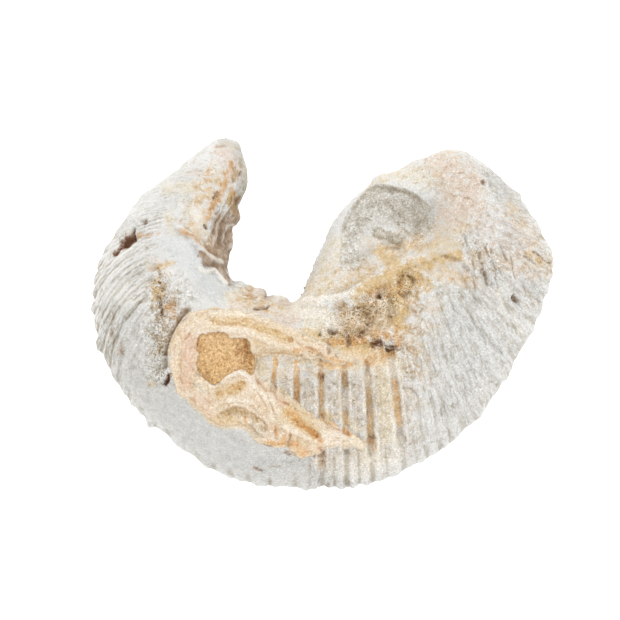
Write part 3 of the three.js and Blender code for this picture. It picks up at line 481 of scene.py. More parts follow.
# Stains: the places that a stroke runs through, then its half width and its strength.
SHELL_STAINS = {
    "dust": (
        ((-9, -10), (-2, -14), (6, -15), (12, -15), 6.5, 0.55), ((4, -4), (10, 0), (13, 5), 5, 1),
        ((8, -2), (14.6, -4), 3, 0.6), ((-6, 2), (2, 6), (8, 7), 3.5, 0.6),
        ((18, 12), (24, 16), (26, 22), (22, 27), 4.5, 0.6), ((13, 14), (18, 12), 3, 0.4),
        ((27, 10), (31, 10), (36, 9), (41, 9), 3, 0.5), ((36, 3), (34, -3), 3, 0.2),
        ((34, 19), (38, 13), 2.6, 0.5), ((16, -2), (17, -10), 3, 0.5), ((19.6, 1), (19.6, -2), 3, 0.4),
        ((0, -26), (10, -26), 3, 0.4), ((-20, 25), (-23, 19), 3.5, 0.5),
        ((-22.6, 21), (-21.8, 16), 1, 0.7), ((-23.5, 15.5), (-20.5, 12.5), 1.6, 0.7),
        ((20.6, 7.2), (27, 6), 1.8, 0.7), ((-1, -8.6), (6, -8.8), 1.6, 1), ((-30, 8), (-29, -6), 3, 0.4),
    ),
    "bluish": (
        ((-27.2, 12.5), (-23.5, 9.8), (-19.9, 5.3), 4, 0.6),
        ((-27, -17), (-20, -24), (-10, -28.5), 4.5, 0.3), ((22, -1), (30, -5), (25, -13), 5.5, 0.35),
    ),
    "grey": (
        # under the scoop's upper lip the grey is partly the scoop's own grey and partly painted shade,
        # darkest right under the lip
        ((5.4, 20), (7.8, 22.6), (11.6, 23), (15.6, 21.8), (18.4, 19.6), 1.1, 1.1),
        ((5.6, 17), (9, 20), (13.5, 19.6), (17.6, 16.6), 3.1, 0.78),
        ((4.6, 16), (4.4, 9.6), (5.4, 9.6), 2, 0.6), ((3.4, 16), (4.6, 13.6), 1.1, 0.9),
        ((9.6, 14.8), (13.6, 13.6), 1, 1.3), ((11, 12.8), (14, 11.8), 0.8, 1.2), ((18.2, 14), 3, 0.5),
    ),
    "cream": (
        ((2, 12.8), (0.4, 8), (-0.8, 4.4), 2.4, 0.65), ((5.5, 23.6), (12, 26), (19, 25), 2.6, 0.6),
        ((-18.4, 31), (-16.6, 30.6), 1.2, 0.5), ((-4.5, 1.6), (-0.8, -0.2), (-2.3, -2.9), 2.6, 0.7),
        ((-16.4, 2.6), (-12, 2.2), (-6, 0.4), 2.2, 0.8),
        ((-2, -4), (3, -6.8), (8.6, -8.4), (12, -9.4), 2.8, 1.1), ((14, 5.6), (12, 0), 2.6, 0.6),
        ((18, 11.6), (23, 12.4), 2, 0.5), ((37, 9.6), (40.6, 10.2), 2, 0.5),
        ((8.6, -21), (9.4, -26.6), 1.6, 0.7), ((10.6, -8.6), (11.2, -22), 2, 1),
        ((-4.6, -8.2), (2, -9.4), (8, -9.8), 0.9, 0.8), ((-7.8, -14), (-5.2, -16.6), 1, 1.1),
        ((-12, -9), (-10, -12.6), 1.2, 0.9), ((2.6, -18), (6.2, -21), 0.9, 1),
        ((3, -12), (3.4, -18), 1.2, 0.45), ((-28.4, 23), (-24, 23.4), 1.6, 0.6),
        ((-28.6, 18), (-28, 15), 1.2, 0.5),
    ),
    "pale": (
        ((-23, 8.2), (-21.8, 7.6), (-20.2, 7.9), (-19.2, 6.9), (-18.1, 5.4), 0.3, 1.1),
        ((-23.6, 18.6), (-22.4, 16.6), 1, 0.7), ((-22.9, 11.9), (-20.9, 10.4), (-18.9, 9.2), 0.24, 0.8),
        ((-8.6, 3), (-4, 2.4), (1, 2.6), (5, 3.8), 0.9, 0.9), ((-4.6, 1), (0, 0.4), (1.4, -1.4), 1.8, 0.7),
        ((12.3, -8.4), (12.3, -11), 0.8, 1), ((8.6, -23.8), (8.8, -28), 0.8, 0.6), ((-12.6, 3.4), 0.6, 0.7),
        ((3, -28), (7, -28), (13, -25.4), 2.6, 0.8), ((31, 4), (35, -2), 2.6, 0.4),
        ((4, -0.6), (2.4, -2.4), 1, 0.5), ((-8, -30), (2, -30), 2.4, 0.3),
    ),
    "pinkish": (
        ((20.9, 27), (26.4, 23.4), (26.4, 19.8), (22.8, 18), 2.6, 0.8), ((26, 26), (22, 21), 3, 0.5),
        ((34, 6), (37, 2), 3, 0.25), ((20, -12), (27, -14), 4, 0.2), ((-24, 26), (-21, 22), 3, 0.35),
        ((-13.6, 4), (-10.6, 3.2), 1.6, 0.9), ((-19, 30), (-15.8, 26.4), 1.8, 0.9),
        ((-8.4, 2.8), (-6.6, 2), 1.4, 0.8), ((-15, 1.8), (-10, 0.6), (-6.4, -1), 2, 0.8),
        ((30, 16), (36, 10), 5, 0.5), ((3.6, -7.4), (10, -9), 1.6, 0.5), ((2.3, 2), (2.6, -2.6), 0.7, 0.9),
    ),
    "olive": (
        ((-15.7, 28.6), (-14.8, 26.6), (-14.8, 23), (-15.4, 20.4), 1, 0.6),
        ((-29.2, 3), (-28.9, 0.7), (-30.2, -4.7), (-30, -10.2), 2.6, 0.4),
        ((14, -6.8), (14.5, -11), 0.6, 0.5), ((-25.6, 5), (-26.4, 1.8), 1.8, 0.25),
        ((6, 0.6), (8.6, -0.4), (11.4, 0.7), 1.9, 0.3), ((10, 6.4), (12, 4.6), 1.8, 0.5),
        ((26, 13), (29.4, 8), 2.2, 0.2), ((19.4, 5), (25, 3.6), 1.5, 0.4),
    ),
    "dull": (
        ((-38, -6), (-34, -13), (-27, -20), (-19, -26), 4.5, 0.9), ((-36, 0), (-33, -10), 3, 0.6),
        # the first stroke on the next line, down the steep right side of the beak, is painted shade on a side
        # that faces away from the light
        ((-15.8, 30), (-14.7, 26), (-15.2, 21), 1.4, 1.2), ((-18.6, 31.6), (-15.8, 30.8), 1.3, 1),
        ((-21.8, 5.4), (-18.8, 4.4), 2.2, 0.8), ((-29, -15), (-22, -21), (-14, -25), 3.5, 0.9),
        ((36.5, 5.4), (39, 3.8), 1.3, 0.8), ((-3, -9), (-3, -13), 1.2, 1),
        ((0.8, -9.6), (0.8, -13.4), 1.2, 1), ((-15, -27), (-6, -29), (0, -29), 4, 0.9),
        ((20, 20), (24, 27), (28, 22), 5, 0.5), ((19.6, 18.6), (21, 14.6), (21, 11.8), 3, 1.1),
        ((31, 25), (35, 19), 2.4, 0.8),
    ),
    "silt": (
        ((8, 13), (14, 11.4), (18, 13), 2.2, 0.4), ((4, -6.4), (10, -8.4), 1.6, 0.6),
        ((0.8, -9.2), (3.4, -9.4), 0.9, 0.9), ((-8.4, -13.6), (-6.2, -15.8), 0.5, 0.7),
    ),
    "sediment": (
        ((-16.8, 26.8), (-16.4, 24.6), 0.9, 0.8), ((-17, 21), (-15.8, 20), 1.1, 1),
        ((7, 0.4), (11.6, -0.6), (8, -3.4), (3, -2.4), 2.2, 0.75),
        ((12, 3.4), (14.6, 6.6), (17, 6.2), 1.6, 0.8), ((2, -5), (8, -5.6), (12, -7), 1.6, 0.8),
        ((3, 1.8), (3.6, -1.6), 1.4, 0.85), ((-30, 6), (-29.6, 0), (-30.4, -6), 1.6, 0.3),
        ((-27.8, 2.6), (-27.8, 0), 1.2, 0.6), ((15.6, 4), (16.6, -3), 2.2, 0.55),
        ((15.5, -6), (15.8, -11), 1.6, 0.55), ((-14, 3.4), (-11, 2.6), 1.4, 0.3),
        ((26, 13), (29, 8.4), 1.2, 0.2),
    ),
    "yellow": (
        ((5.6, 3), (8.6, 5.2), (13.3, 7.4), (17.4, 9), (21, 9.8), (24, 10.4), 1.3, 1.1),
        ((15, 6.4), (15, 3), 1.5, 0.8), ((16, 7), (18.6, 5.2), 1.3, 0.9),
        ((10.6, 10.9), (12.4, 9.4), 1.7, 1.3), ((12.4, 5), (13.6, 3.4), (14.2, 0.4), (13.2, -2.2), 1.5, 1),
        ((4, 0.8), (3, -2.6), 1.2, 0.6), ((-15, 2.6), (-8, 0.6), 1.4, 0.5), ((5, 6.4), (8.4, 8), 1.8, 0.3),
        ((-4, -3.2), (0.6, -5), (5, -5.8), (9, -6.4), (12, -7.2), 1.3, 0.75),
        ((0, -18), (1, -20.4), 1.4, 0.7), ((6, -25.4), (8, -27), 1.2, 0.6),
        ((14, 6.6), (17, 7.6), (21, 8.8), (24, 7.6), 1.3, 0.6), ((3, 4.6), (7, 6), 1.8, 0.45),
        ((-31.5, 8.2), (-29.7, 8.6), (-27.6, 9.4), 0.7, 0.75), ((-30, 6.2), (-30.2, 3), 1.3, 0.6),
        ((-16.2, 3.6), (-13.6, 3.8), 0.9, 0.5), ((-22.8, 21.8), (-20.6, 24.4), 2.4, 0.4),
        ((-17, 21.6), (-16.4, 19.2), 1, 1.1), ((-25.6, 14.8), (-24.2, 16.4), 1, 0.45),
        ((-31.6, -12.6), 0.8, 0.6), ((37.2, 11), (40.4, 9.4), 0.7, 0.6), ((21, 25.6), 1.5, 0.35),
    ),
    "orange": (
        ((-17.3, 27.4), (-17.9, 24.5), (-19.4, 21.4), (-21.4, 18), (-22.2, 16.6), 0.7, 0.85),
        ((-20.9, 26), (-21.4, 23.6), 0.9, 0.45), ((-26.6, 17), (-24.6, 15.4), 0.6, 0.35),
        ((-26.3, 15.2), (-24.1, 13.9), (-22.1, 12.1), (-20.1, 10.7), 0.45, 0.75),
        ((-17, 23), (-16.6, 21.8), 0.6, 0.8), ((-34.2, 14.4), (-31.7, 14.3), (-29.6, 14.8), 0.45, 0.6),
        ((0.4, -4.9), (3.6, -5.4), 0.6, 0.9), ((4.6, -4.4), (7.6, -4.6), 0.8, 1),
        ((8.6, -6.2), (12, -7.6), 0.6, 0.9), ((9.4, -3.4), (12.2, -4.2), 1.2, 0.6),
        ((0.2, -8.6), (4.6, -8.9), 0.8, 0.9), ((22.8, 6.4), 0.6, 0.8), ((9.6, -7), (8, -8.6), 1.1, 0.6),
        ((8.4, 3.2), (13, 5), (15, 2.2), 1.4, 0.5), ((17.2, 6), (18.4, 4.4), 0.7, 0.5),
        ((13.2, -5.2), (12.8, -3), 0.8, 1), ((-28.2, 1.2), (-26.6, -1.2), 0.8, 0.7),
        ((-36, 15), (-33.8, 14), 0.6, 0.4), ((8.4, -6.7), (10.6, -6.9), 0.5, 0.9),
        ((8.2, -22.9), (9, -24.4), 0.7, 1.1), ((26, 7.2), 0.7, 0.5), ((-14.4, 3.2), (-12.4, 3), 0.7, 0.35),
    ),
    "brown": (
        ((-13, -27.9), (-11.3, -28.6), 0.22, 0.8), ((-10.2, -27.8), (-8.2, -27.7), 0.22, 0.7),
        ((-25.2, 0.8), (-26.6, -1.4), (-27.6, -3.4), 0.9, 0.95),
        ((-38.4, 1.4), (-38.9, -3), (-38.4, -5), 0.5, 0.5), ((-36.6, -4.6), (-37.2, -7.4), 0.5, 0.6),
        # the broad brown strokes down the steep inner bank behind the beak are partly the bank's own brown
        # and partly painted shade, as that bank faces away from the light
        ((-18.7, 16.8), (-18.9, 14.3), (-19.4, 10.6), (-18.9, 9), 1.7, 1.2),
        ((-18.8, 9.4), (-18.1, 6.8), (-17.6, 5.8), 0.6, 1.1),
        ((-16, 19), (-16.8, 16.4), (-17.4, 11.6), 1.5, 1.1), ((-21.4, 9.1), (-19.6, 8.6), 0.7, 0.7),
        ((-21.3, 12.3), (-20, 11.3), (-18.8, 10.6), 0.8, 1.1),
        ((-22.2, 10.9), (-20.8, 9.4), (-18.8, 7.9), 0.9, 1.15), ((-20.1, 21.2), (-19.5, 22), 0.45, 0.9),
        ((-27.6, -2.6), (-28.4, -5), (-28.9, -7.6), 0.5, 0.8),
        ((-30.2, 3), (-29.7, 1.3), (-29.7, -0.2), 0.5, 0.7), ((7.9, -1.7), (6.6, -3.6), 1.2, 0.45),
        ((4, -3.3), (4.3, -5.5), 0.6, 0.9), ((13.3, 5.4), (13.9, 6.7), (15.3, 7), (16.1, 5.8), 0.28, 0.55),
        ((13.7, 4), (14.4, 3.4), (15.5, 4.1), 0.3, 0.5),
        ((21.3, 10.2), (24.2, 9.3), (26.6, 7.2), (27.7, 4.4), 0.3, 0.5), ((13.5, 7.4), (17.7, 9.3), 0.3, 0.4),
        ((28.6, 8.6), (29.4, 5.6), 0.3, 0.8), ((29, 12.2), (30, 9.8), 0.26, 0.6),
        ((38, 11.1), (39.6, 10.1), (41.4, 9), 0.24, 0.8), ((36.2, 10.2), (38.4, 8.9), 0.22, 0.6),
        ((34.7, 3.1), (35.2, 2.5), 0.6, 0.9), ((0.5, -4.7), (0.9, -6.9), 0.4, 0.9),
        ((-0.8, -7.6), (-0.6, -10.6), 0.8, 0.4), ((14.8, -22.6), (15.4, -25.6), 0.5, 0.5),
        ((8.8, -5), (12.4, -6.2), 0.9, 0.5), ((3, -2.2), (6.4, -3.2), 1.2, 0.3),
        ((12.4, -1.8), (14, -4), 1.2, 0.3), ((11.2, 12), (13.6, 11.6), 0.35, 0.7),
        # on the next two lines, all strokes but the first darken the beak's inner facets and bank: partly
        # painted shade
        ((-15.4, 26.2), (-15.5, 25.8), 0.35, 1), ((-16.8, 20.8), (-15.8, 18.6), 0.7, 0.9),
        ((-15.6, 21.2), (-15.1, 19.6), 0.5, 1.1), ((-17, 14), (-18.2, 10.4), 1.2, 1.1),
        ((-31.2, 8), (-30.4, 8.4), 0.5, 0.8), ((28.6, 23.8), 0.5, 0.7),
        ((29.8, 22.4), (29.4, 18.6), 0.3, 0.3), ((22.6, 24.6), (25, 25.4), 0.3, 0.4),
        ((23.4, 21.6), (26.4, 20.8), 0.3, 0.4), ((-12.5, 1.1), (-10.3, 1.4), 0.4, 0.8),
        ((14.2, -13.5), (15.3, -13.3), (16.4, -14.1), (17.1, -15.4), 0.2, 0.5),
        ((-33, 16.7), (-32.6, 17.1), 0.4, 0.5), ((-0.3, -24.9), (-0.2, -27), 0.5, 0.7),
        ((-1.6, -25.7), (-0.4, -25.9), 0.5, 1.1), ((-6.6, -25.2), 0.6, 1),
        ((8.2, -22.3), (9, -22.5), 0.6, 0.7),
    ),
    "dark": (
        ((-35.7, 13.6), (-36.3, 13), 1.12, 1.5), ((-34.8, 15.5), (-35.2, 14.4), 0.22, 1),
        ((-36.4, 12.6), (-37.4, 12), (-38.6, 10.8), 0.34, 1.3), ((-28.3, -11.2), (-28.9, -12.9), 0.35, 1.6),
        ((8.9, -5.8), (10, -5.5), 0.75, 0.9), ((12.1, -6.2), 0.85, 0.75), ((9.7, 3.3), 0.6, 0.6),
        ((1.2, -3), (1.9, -3.1), 0.6, 0.6), ((-0.8, -3.6), 0.4, 0.5), ((-0.5, -11.2), 0.5, 0.8),
        ((-15.4, 25.8), 0.3, 0.8), ((-21.7, 16), (-21.3, 15.5), 0.3, 0.8),
        ((-12.6, 4.6), (-11.2, 4.4), 0.3, 0.8), ((-29.9, 2.4), (-29.5, 1.2), (-29.7, -0.2), 0.3, 0.6),
        ((-30.6, -1.6), (-29.9, -1.5), 0.3, 0.7), ((7.6, -1.9), 0.3, 0.9),
        ((6.9, -2.9), (6.2, -3.9), 0.3, 0.8), ((8.3, -2.5), 0.25, 0.8), ((12, -0.5), 0.4, 0.7),
        ((0.5, -31), 0.5, 0.7),
    ),
}
# Strokes too: where the surface is broken rubble, and where it is worn smooth.
RUBBLE = (
    ((-29.9, 6), (-29.3, 0.7), (-30.4, -4.7), (-29.6, -11), 2.8, 1), ((-26, 4.4), (-24.6, 3), 1.8, 0.6),
    ((3.6, -1), (8.6, 1), (13, 3), (15, 6), 3, 1), ((1, -3.6), (8, -4.6), (12.4, -6), 1.8, 0.9),
    ((-20.5, 26), (-23, 21.5), (-19, 20), 2.6, 0.5), ((27, 12.6), (30, 8), 2.6, 0.6), ((-13, 3), 2, 0.4),
    ((20, 27), (26, 24), (26.6, 19), 3.4, 0.3),
)
SMOOTH = (
    ((5.6, 17), (9, 19.6), (13.5, 19), (17.6, 16.2), 5.5, 1), ((3.4, 10), (9, 9), 4.5, 0.9),
    ((-32, 20), (-36, 8), 6, 0.4), ((-24, 10), (-20, 6), 4, 0.6),
    ((-29, -17), (-22, -24), (-12, -29), 5, 0.75),
)


def painted(x, y, strokes, power=2.5):
    """The strongest of some soft strokes at each place."""
    mask = np.zeros(len(x))
    for *line, half_width, strength in strokes:
        mask = np.maximum(mask, strength * bump(from_line(x, y, line), half_width, power))
    return mask


def carved(x, y, marks):
    """The sum of some raised and sunk marks at each place."""
    height = np.zeros(len(x))
    for *line, half_width, rise, power in marks:
        height += rise * bump(from_line(x, y, line), half_width, power)
    return height


def strayed(p, amount, size, seed):
    """Plan places moved a little at random, so that drawn lines look broken by nature."""
    x = p[:, 0] + amount * lumps(p, size, seed, 2)
    y = p[:, 1] + amount * lumps(p, size, seed + 50, 2)
    return x, y


# ---- the big oyster's mesh ----


def section_ribs(count):
    """Rib counts of the sections, spaced along the outer part, closer on the broad ribs."""
    fine = np.linspace(0, LAST_RIB, 4000)
    f = frames_at(fine)
    walk = mix(f["crest"], f["outer"], 0.7)
    steps = np.linalg.norm(np.diff(walk, axis=0), axis=1) * (1 + 0.6 * broad(fine[1:]))
    length = np.concatenate([[0], np.cumsum(steps)])
    return np.interp(np.linspace(0, length[-1], count), length, fine)


def section_angles():
    """The angles of the points round one section, closer together on the upper valve."""
    edges = np.concatenate([[0], np.cumsum(list(SECTION_POINTS.values()))])
    return np.interp(np.arange(edges[-1]), edges, np.arange(5) * np.pi / 2)


def grid_normals(points):
    """Outward directions on a grid of sections by section points."""
    round_section = np.roll(points, -1, axis=1) - np.roll(points, 1, axis=1)
    normals = np.cross(np.gradient(points, axis=0), round_section)
    return normals / np.maximum(np.linalg.norm(normals, axis=2, keepdims=True), 1e-9)


def soften(field, times):
    """A field on the grid, averaged with its neighbours."""
    for _ in range(times):
        field = (field + np.roll(field, 1, axis=1) + np.roll(field, -1, axis=1)) / 3
        middle = (field[1:-1] + field[:-2] + field[2:]) / 3
        field = np.concatenate([field[:1], middle, field[-1:]])
    return field


def hollowness(points, normals, times, depth):
    """How far a place lies under its surroundings: 1 in a groove and -1 on an edge."""
    under = np.sum((soften(points, times) - points) * normals, axis=2)
    return np.clip(under / depth, -1, 1).ravel()


def streakiness(s):
    """How strongly fine broken riblets show: most on the right flank, least where the shell is worn."""
    show = np.interp(s["f"]["ribs"], *zip(*RIBLETS_SHOW)) * (1 - 0.8 * worn_band(s["f"]["ribs"], s["along"]))
    return show * smooth_step(0.1, 0.35, s["along"]) * mix(0.5, 1, s["outer"]) * s["upper"]


def shell_streaks(s, p):
    """Riblets and growth lines that run with the big ribs and break off."""
    on_rib = np.column_stack([s["f"]["ribs"] * 3.0, s["along"] * 6 + 40 * s["outer"], 30.0 * s["upper"]])
    bent = on_rib + 0.8 * np.column_stack([lumps(p, 2.4, 61, 2), lumps(p, 3, 62), np.zeros(len(p))])
    relief = 0.14 * lumps(bent, (1.6, 1.1, 1), 63, 2) + 0.12 * lumps(bent, (0.7, 0.6, 1), 64, 2)
    return relief * (0.4 + 0.6 * (lumps(p, 4.5, 65) > -0.2)) * streakiness(s)


def bank_steps(s, p):
    """From -1 to 1 over the growth steps that run down the steep inner bank behind the beak."""
    ribs, along = s["f"]["ribs"], s["along"]
    bank = between(*BANK_RIBS, ribs) * smooth_step(0.15, 0.4, along)
    steps = LAMELLAE * along + 0.22 * ribs + 1.0 * lumps(p, 6, 82, 3)
    return np.sin(2 * np.pi * steps) * bank * (1 - s["outer"]) * s["upper"]


def rib_details(s, p):
    """What the ribs have beyond their wave: grooves at half pitch, rims, forks and broken stretches."""
    ribs, along, relief = s["f"]["ribs"], s["along"], s["f"]["relief"]
    from_groove = ribs - np.round(ribs)
    from_back = np.abs(ribs - np.floor(ribs) - 0.5)
    rims = 0.2 * bump(np.abs(from_groove) - 0.25, 0.07) - 0.12 * bump(from_back, 0.1)
    fork = -0.25 * bump(from_back, 0.1) * smooth_step(0.7, 0.8, along)
    left = between(*LEFT_RIBS, ribs) * smooth_step(0.25, 0.5, along) * (0.6 + 0.8 * lumps(p, 5, 84))
    half = -0.25 * bump(from_back, 0.13) * left
    whole = -0.15 * bump(from_groove, 0.13) * left
    bare = 1 - worn_band(ribs, along)
    out = broad(ribs) * bare * (rims * smooth_step(0.06, 0.16, along) + fork) + half + whole
    wave = RIB_RELIEF * s["wave"] * rib_strength(s["f"], along, s["outer"], True) / np.maximum(relief, 0.01)
    broken = smooth_step(33.5, 36, ribs) * np.clip(0.3 + 0.7 * lumps(p, 5, 81, 2), -0.3, 0.8)
    out -= wave * broken * (1 - 0.7 * smooth_step(0.93, 1, along))
    return s["upper_share"] * (out * s["outer"] * relief + 0.22 * bank_steps(s, p))


def shell_grain(p, rubble, smooth):
    """Chalky grain and lumps, and small holes with their mask."""
    rough = mix(0.06, 0.22, rubble) * (1 - 0.75 * smooth)
    grain = rough * (lumps(p, 0.9, 71, 2) + 0.6 * lumps(p, 1.9, 72))
    blocks = 0.45 * rubble * lumps(p, 2.6, 73, 3)
    share = mix(0.12, 1, rubble) * (1 - smooth) * (lumps(p, 4, 75) > -0.1)
    holes = share * bump(near_seeds(p, 1.7, 74), 0.36, 3)
    return grain + blocks - 0.55 * holes, holes * rubble


def seam_groove(s, points):
    """The zigzag seam between the valves, as a thin groove."""
    f, ribs = s["f"], s["f"]["ribs"]
    margin_z = np.where(s["outer"], f["outer"][:, 2], f["inner"][:, 2])
    seam_z = margin_z + ZIGZAG * rib_wave(ribs) * f["relief"] * f["grown"] - 0.5
    return -0.45 * f["grown"] * bump(points[:, 2] - seam_z, 0.4, 3) * smooth_step(0.9, 0.97, s["along"])


def add_stain(masks, kind, more):
    """Adds to a stain wherever the new part is stronger than what is there."""
    masks[kind] = np.maximum(masks[kind], more)


def shell_surface(ribs, angle, shape):
    """The finished points of the big oyster and the masks that colour them."""
    points, s = skin_points(ribs, angle)
    normals = grid_normals(points.reshape(*shape, 3)).reshape(-1, 3)
    top = s["upper_share"] * smooth_step(0.02, 0.25, s["rise"])
    x, y = strayed(points, 0.28, 1.6, 21)
    rubble = painted(x, y, RUBBLE) * top
    smooth = painted(x, y, SMOOTH) * s["upper_share"]
    out = rib_details(s, points) + shell_streaks(s, points) * (1 - 0.8 * smooth)
    grain, holes = shell_grain(points, rubble, smooth)
    out += grain + carved(x, y, SHELL_MARKS) * top
    out = out * s["f"]["grown"] + seam_groove(s, points)
    points = points + normals * out[:, None]
    points[:, 2] = np.maximum(points[:, 2], 0)
    masks = {kind: painted(x, y, strokes) * top for kind, strokes in SHELL_STAINS.items()}
    add_stain(masks, "brown", 0.85 * holes)
    masks["rubble"] = rubble
    masks["streaky"] = streakiness(s) * (1 - 0.8 * smooth)
    add_surface_masks(s, points, points.reshape(*shape, 3), smooth, masks)
    return points, s, masks


def add_surface_masks(s, p, grid, smooth, masks):
    """The masks that follow the finished surface of the big oyster: dark grains, painted shade in its
    hollows, grain and lines.
    """
    ribs, along = s["f"]["ribs"], s["along"]
    dots = bump(near_seeds(p, 2.4, 76), 0.32, 3) * masks["rubble"] * (lumps(p, 3, 77) > -0.1)
    add_stain(masks, "dark", 0.75 * dots)
    add_stain(masks, "pale", 0.6 * smooth_step(0.75, 1, bank_steps(s, p)))
    # the grey of the scoop ends at its lip
    in_scoop = depth_inside(p[:, 0] + 0.2 * lumps(p, 1.5, 83), p[:, 1], LIP_OUTLINE)
    masks["grey"] = masks["grey"] * smooth_step(-0.1, 0.2, in_scoop)
    normals = grid_normals(grid)
    # painted shade: how deep a place lies in a groove or hollow, which darkens its colour
    masks["fine_hollow"] = hollowness(grid, normals, 2, 0.06)
    masks["hollow"] = hollowness(grid, normals, 14, 0.5)
    grainy = 0.6 - 0.2 * (1 - smooth_step(16, 19, ribs)) + 0.15 * broad(ribs) + 0.6 * masks["rubble"]
    masks["grainy"] = np.clip(grainy + 0.4 * masks["grey"] + 0.15 * masks["streaky"], 0, 1)
    lined = np.interp(ribs, *zip(*LINES_SHOW)) * smooth_step(0.15, 0.4, along)
    masks["lined"] = lined * s["outer"] * s["upper"] * (1 - 0.5 * smooth)
    bent_ribs = ribs + 0.12 * lumps(p, 2.2, 85, 2)
    masks["rib_place"] = np.column_stack([bent_ribs, along, 1.0 * s["outer"]])


# What fills the grooves between the middle ribs: rib count, first and last y, and shares of stains.
GROOVE_FILLS = (
    (28, -7.4, -13.4, {"silt": 1, "yellow": 0.9, "orange": 0.6}),
    (29, -7.8, -16.6, {"silt": 1, "orange": 0.8}),
    (30, -7.8, -12.4, {"brown": 0.75, "orange": 1.4}),
    (30, -12, -19.4, {"silt": 1, "orange": 0.3}),
    (31, -9.8, -13.4, {"silt": 0.9, "brown": 0.55}),
    (31, -13.4, -17.4, {"cream": 0.9, "pale": 0.95}),
    (31, -17.4, -21, {"silt": 1, "orange": 0.2}),
    (32, -10.6, -13, {"silt": 1, "pale": 0.8}),
    (32, -13, -22.6, {"silt": 0.8, "olive": 0.55}),
    (33, -7, -11, {"silt": 0.9, "yellow": 0.6}),
    (33, -11.6, -20.4, {"silt": 1, "orange": 0.3, "pale": 0.15}),
    (30, -25.2, -29, {"silt": 0.6, "brown": 0.3}),
)


def stain_middle_ribs(s, p, masks):
    """The mottled backs and pale rims of the broad middle ribs."""
    ribs = s["f"]["ribs"] + 0.05 * lumps(p, 1.5, 92)
    from_groove = ribs - np.round(ribs)
    bare = broad(ribs) * s["outer"] * s["upper"] * smooth_step(0.14, 0.26, s["along"])
    bare = bare * (1 - worn_band(ribs, s["along"])) * (1 - smooth_step(0.8, 0.95, s["along"]))
    masks["mottled"] = bare * (0.8 + 0.3 * lumps(p, 3, 93))
    add_stain(masks, "bluish", bare * (0.6 + 0.8 * lumps(p, 2.5, 96)) * (ribs < 32))
    shaded = bare * smooth_step(-17, -12, p[:, 1]) * (1 - smooth_step(31.2, 32, ribs))
    shaded = shaded * (0.7 + 0.6 * lumps(p, 1.6, 97)) + 0.35 * bare * bump(from_groove - 0.3, 0.12)
    add_stain(masks, "grey", shaded)
    rims = 1.2 * bump(from_groove + 0.19, 0.06) + 0.7 * bump(from_groove - 0.23, 0.05)
    add_stain(masks, "pale", rims * bare * (0.8 + 0.9 * lumps(p, 2.4, 94)))


def stain_left_flank(s, p, masks):
    """Thin dark cracks that part pale bands, two to a rib."""
    ribs = s["f"]["ribs"] + 0.05 * lumps(p, 1.5, 92)
    flank = between(*FLANK_RIBS, ribs) * s["outer"] * s["upper"]
    flank = flank * smooth_step(0.2, 0.4, s["along"]) * (1 - 0.6 * masks["rubble"])
    from_crack = 2 * ribs - np.round(2 * ribs)
    add_stain(masks, "grey", flank * bump(from_crack, 0.2, 3) * (0.5 + 1.2 * lumps(p, 2.8, 99)))
    bands = flank * bump(0.5 - np.abs(from_crack), 0.24) * (0.5 + 0.8 * lumps(p, 4, 100))
    add_stain(masks, "pale", bands)


def fill_grooves(s, p, masks):
    """The sediment in the grooves between the middle ribs, with a brown line of painted shade along one edge.
    """
    ribs, y = s["f"]["ribs"] + 0.05 * lumps(p, 1.5, 92), p[:, 1]
    for groove, first, last, fills in GROOVE_FILLS:
        reaches = smooth_step(first + 0.5, first - 0.5, y) * smooth_step(last - 1, last + 1, y)
        reaches = reaches * s["outer"] * s["upper"]
        lies_in = bump(ribs - groove, 0.13, 4) * reaches
        # the fill lies level in the groove, so the painted shade of the hollow is mostly taken out there
        for hollow in ("hollow", "fine_hollow"):
            masks[hollow] = masks[hollow] * (1 - 0.9 * bump(ribs - groove, 0.24, 3) * reaches)
        for kind, share in fills.items():
            add_stain(masks, kind, lies_in * (share + 0.2 * lumps(p, 2.5, 91)))
        # painted shade: a thin brown line along the groove's right edge
        edge = bump(ribs - groove - 0.12, 0.04) * lies_in * (0.7 + 0.5 * lumps(p, 2, 95))
        add_stain(masks, "brown", edge)


def kept_in_box(place):
    """Draws the outermost detail in where it stands out of the solid's box."""
    for axis in range(3):
        for side, limit in ((1, cad_high[axis]), (-1, -cad_low[axis])):
            reach = side * place[:, axis]
            past = max(reach.max() - limit, 0)
            place[:, axis] -= side * past * smooth_step(limit - EASE, max(reach.max(), limit), reach)
    return place


def finish_piece(piece, name, co, masks, node, material):
    """Names a piece, moves its vertices to their places and ties it to the frame."""
    piece.name = name
    mesh = piece.data
    mesh.name = name
    place = np.column_stack([co[:, 0] + CENTRE[0], co[:, 1] + CENTRE[1], co[:, 2]]) * MM
    mesh.vertices.foreach_set("co", kept_in_box(place).ravel())
    for kind, values in masks.items():
        flat = values.ndim == 1
        layer = mesh.attributes.new(kind, "FLOAT" if flat else "FLOAT_VECTOR", "POINT")
        layer.data.foreach_set("value" if flat else "vector", values.astype(np.float32).ravel())
    while mesh.uv_layers:
        mesh.uv_layers.remove(mesh.uv_layers[0])
    mesh.materials.append(material)
    mesh.update()
    bpy.ops.object.select_all(action="DESELECT")
    piece.select_set(True)
    bpy.context.view_layer.objects.active = piece
    bpy.ops.object.mode_set(mode="EDIT")
    bpy.ops.mesh.select_all(action="SELECT")
    bpy.ops.mesh.normals_make_consistent(inside=False)
    bpy.ops.object.mode_set(mode="OBJECT")
    bpy.ops.object.shade_smooth()
    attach(piece, "root")
    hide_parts(node)


def vertex_places(mesh):
    """The places of a mesh's vertices, one row each."""
    co = np.empty(len(mesh.vertices) * 3)
    mesh.vertices.foreach_get("co", co)
    return co.reshape(-1, 3)


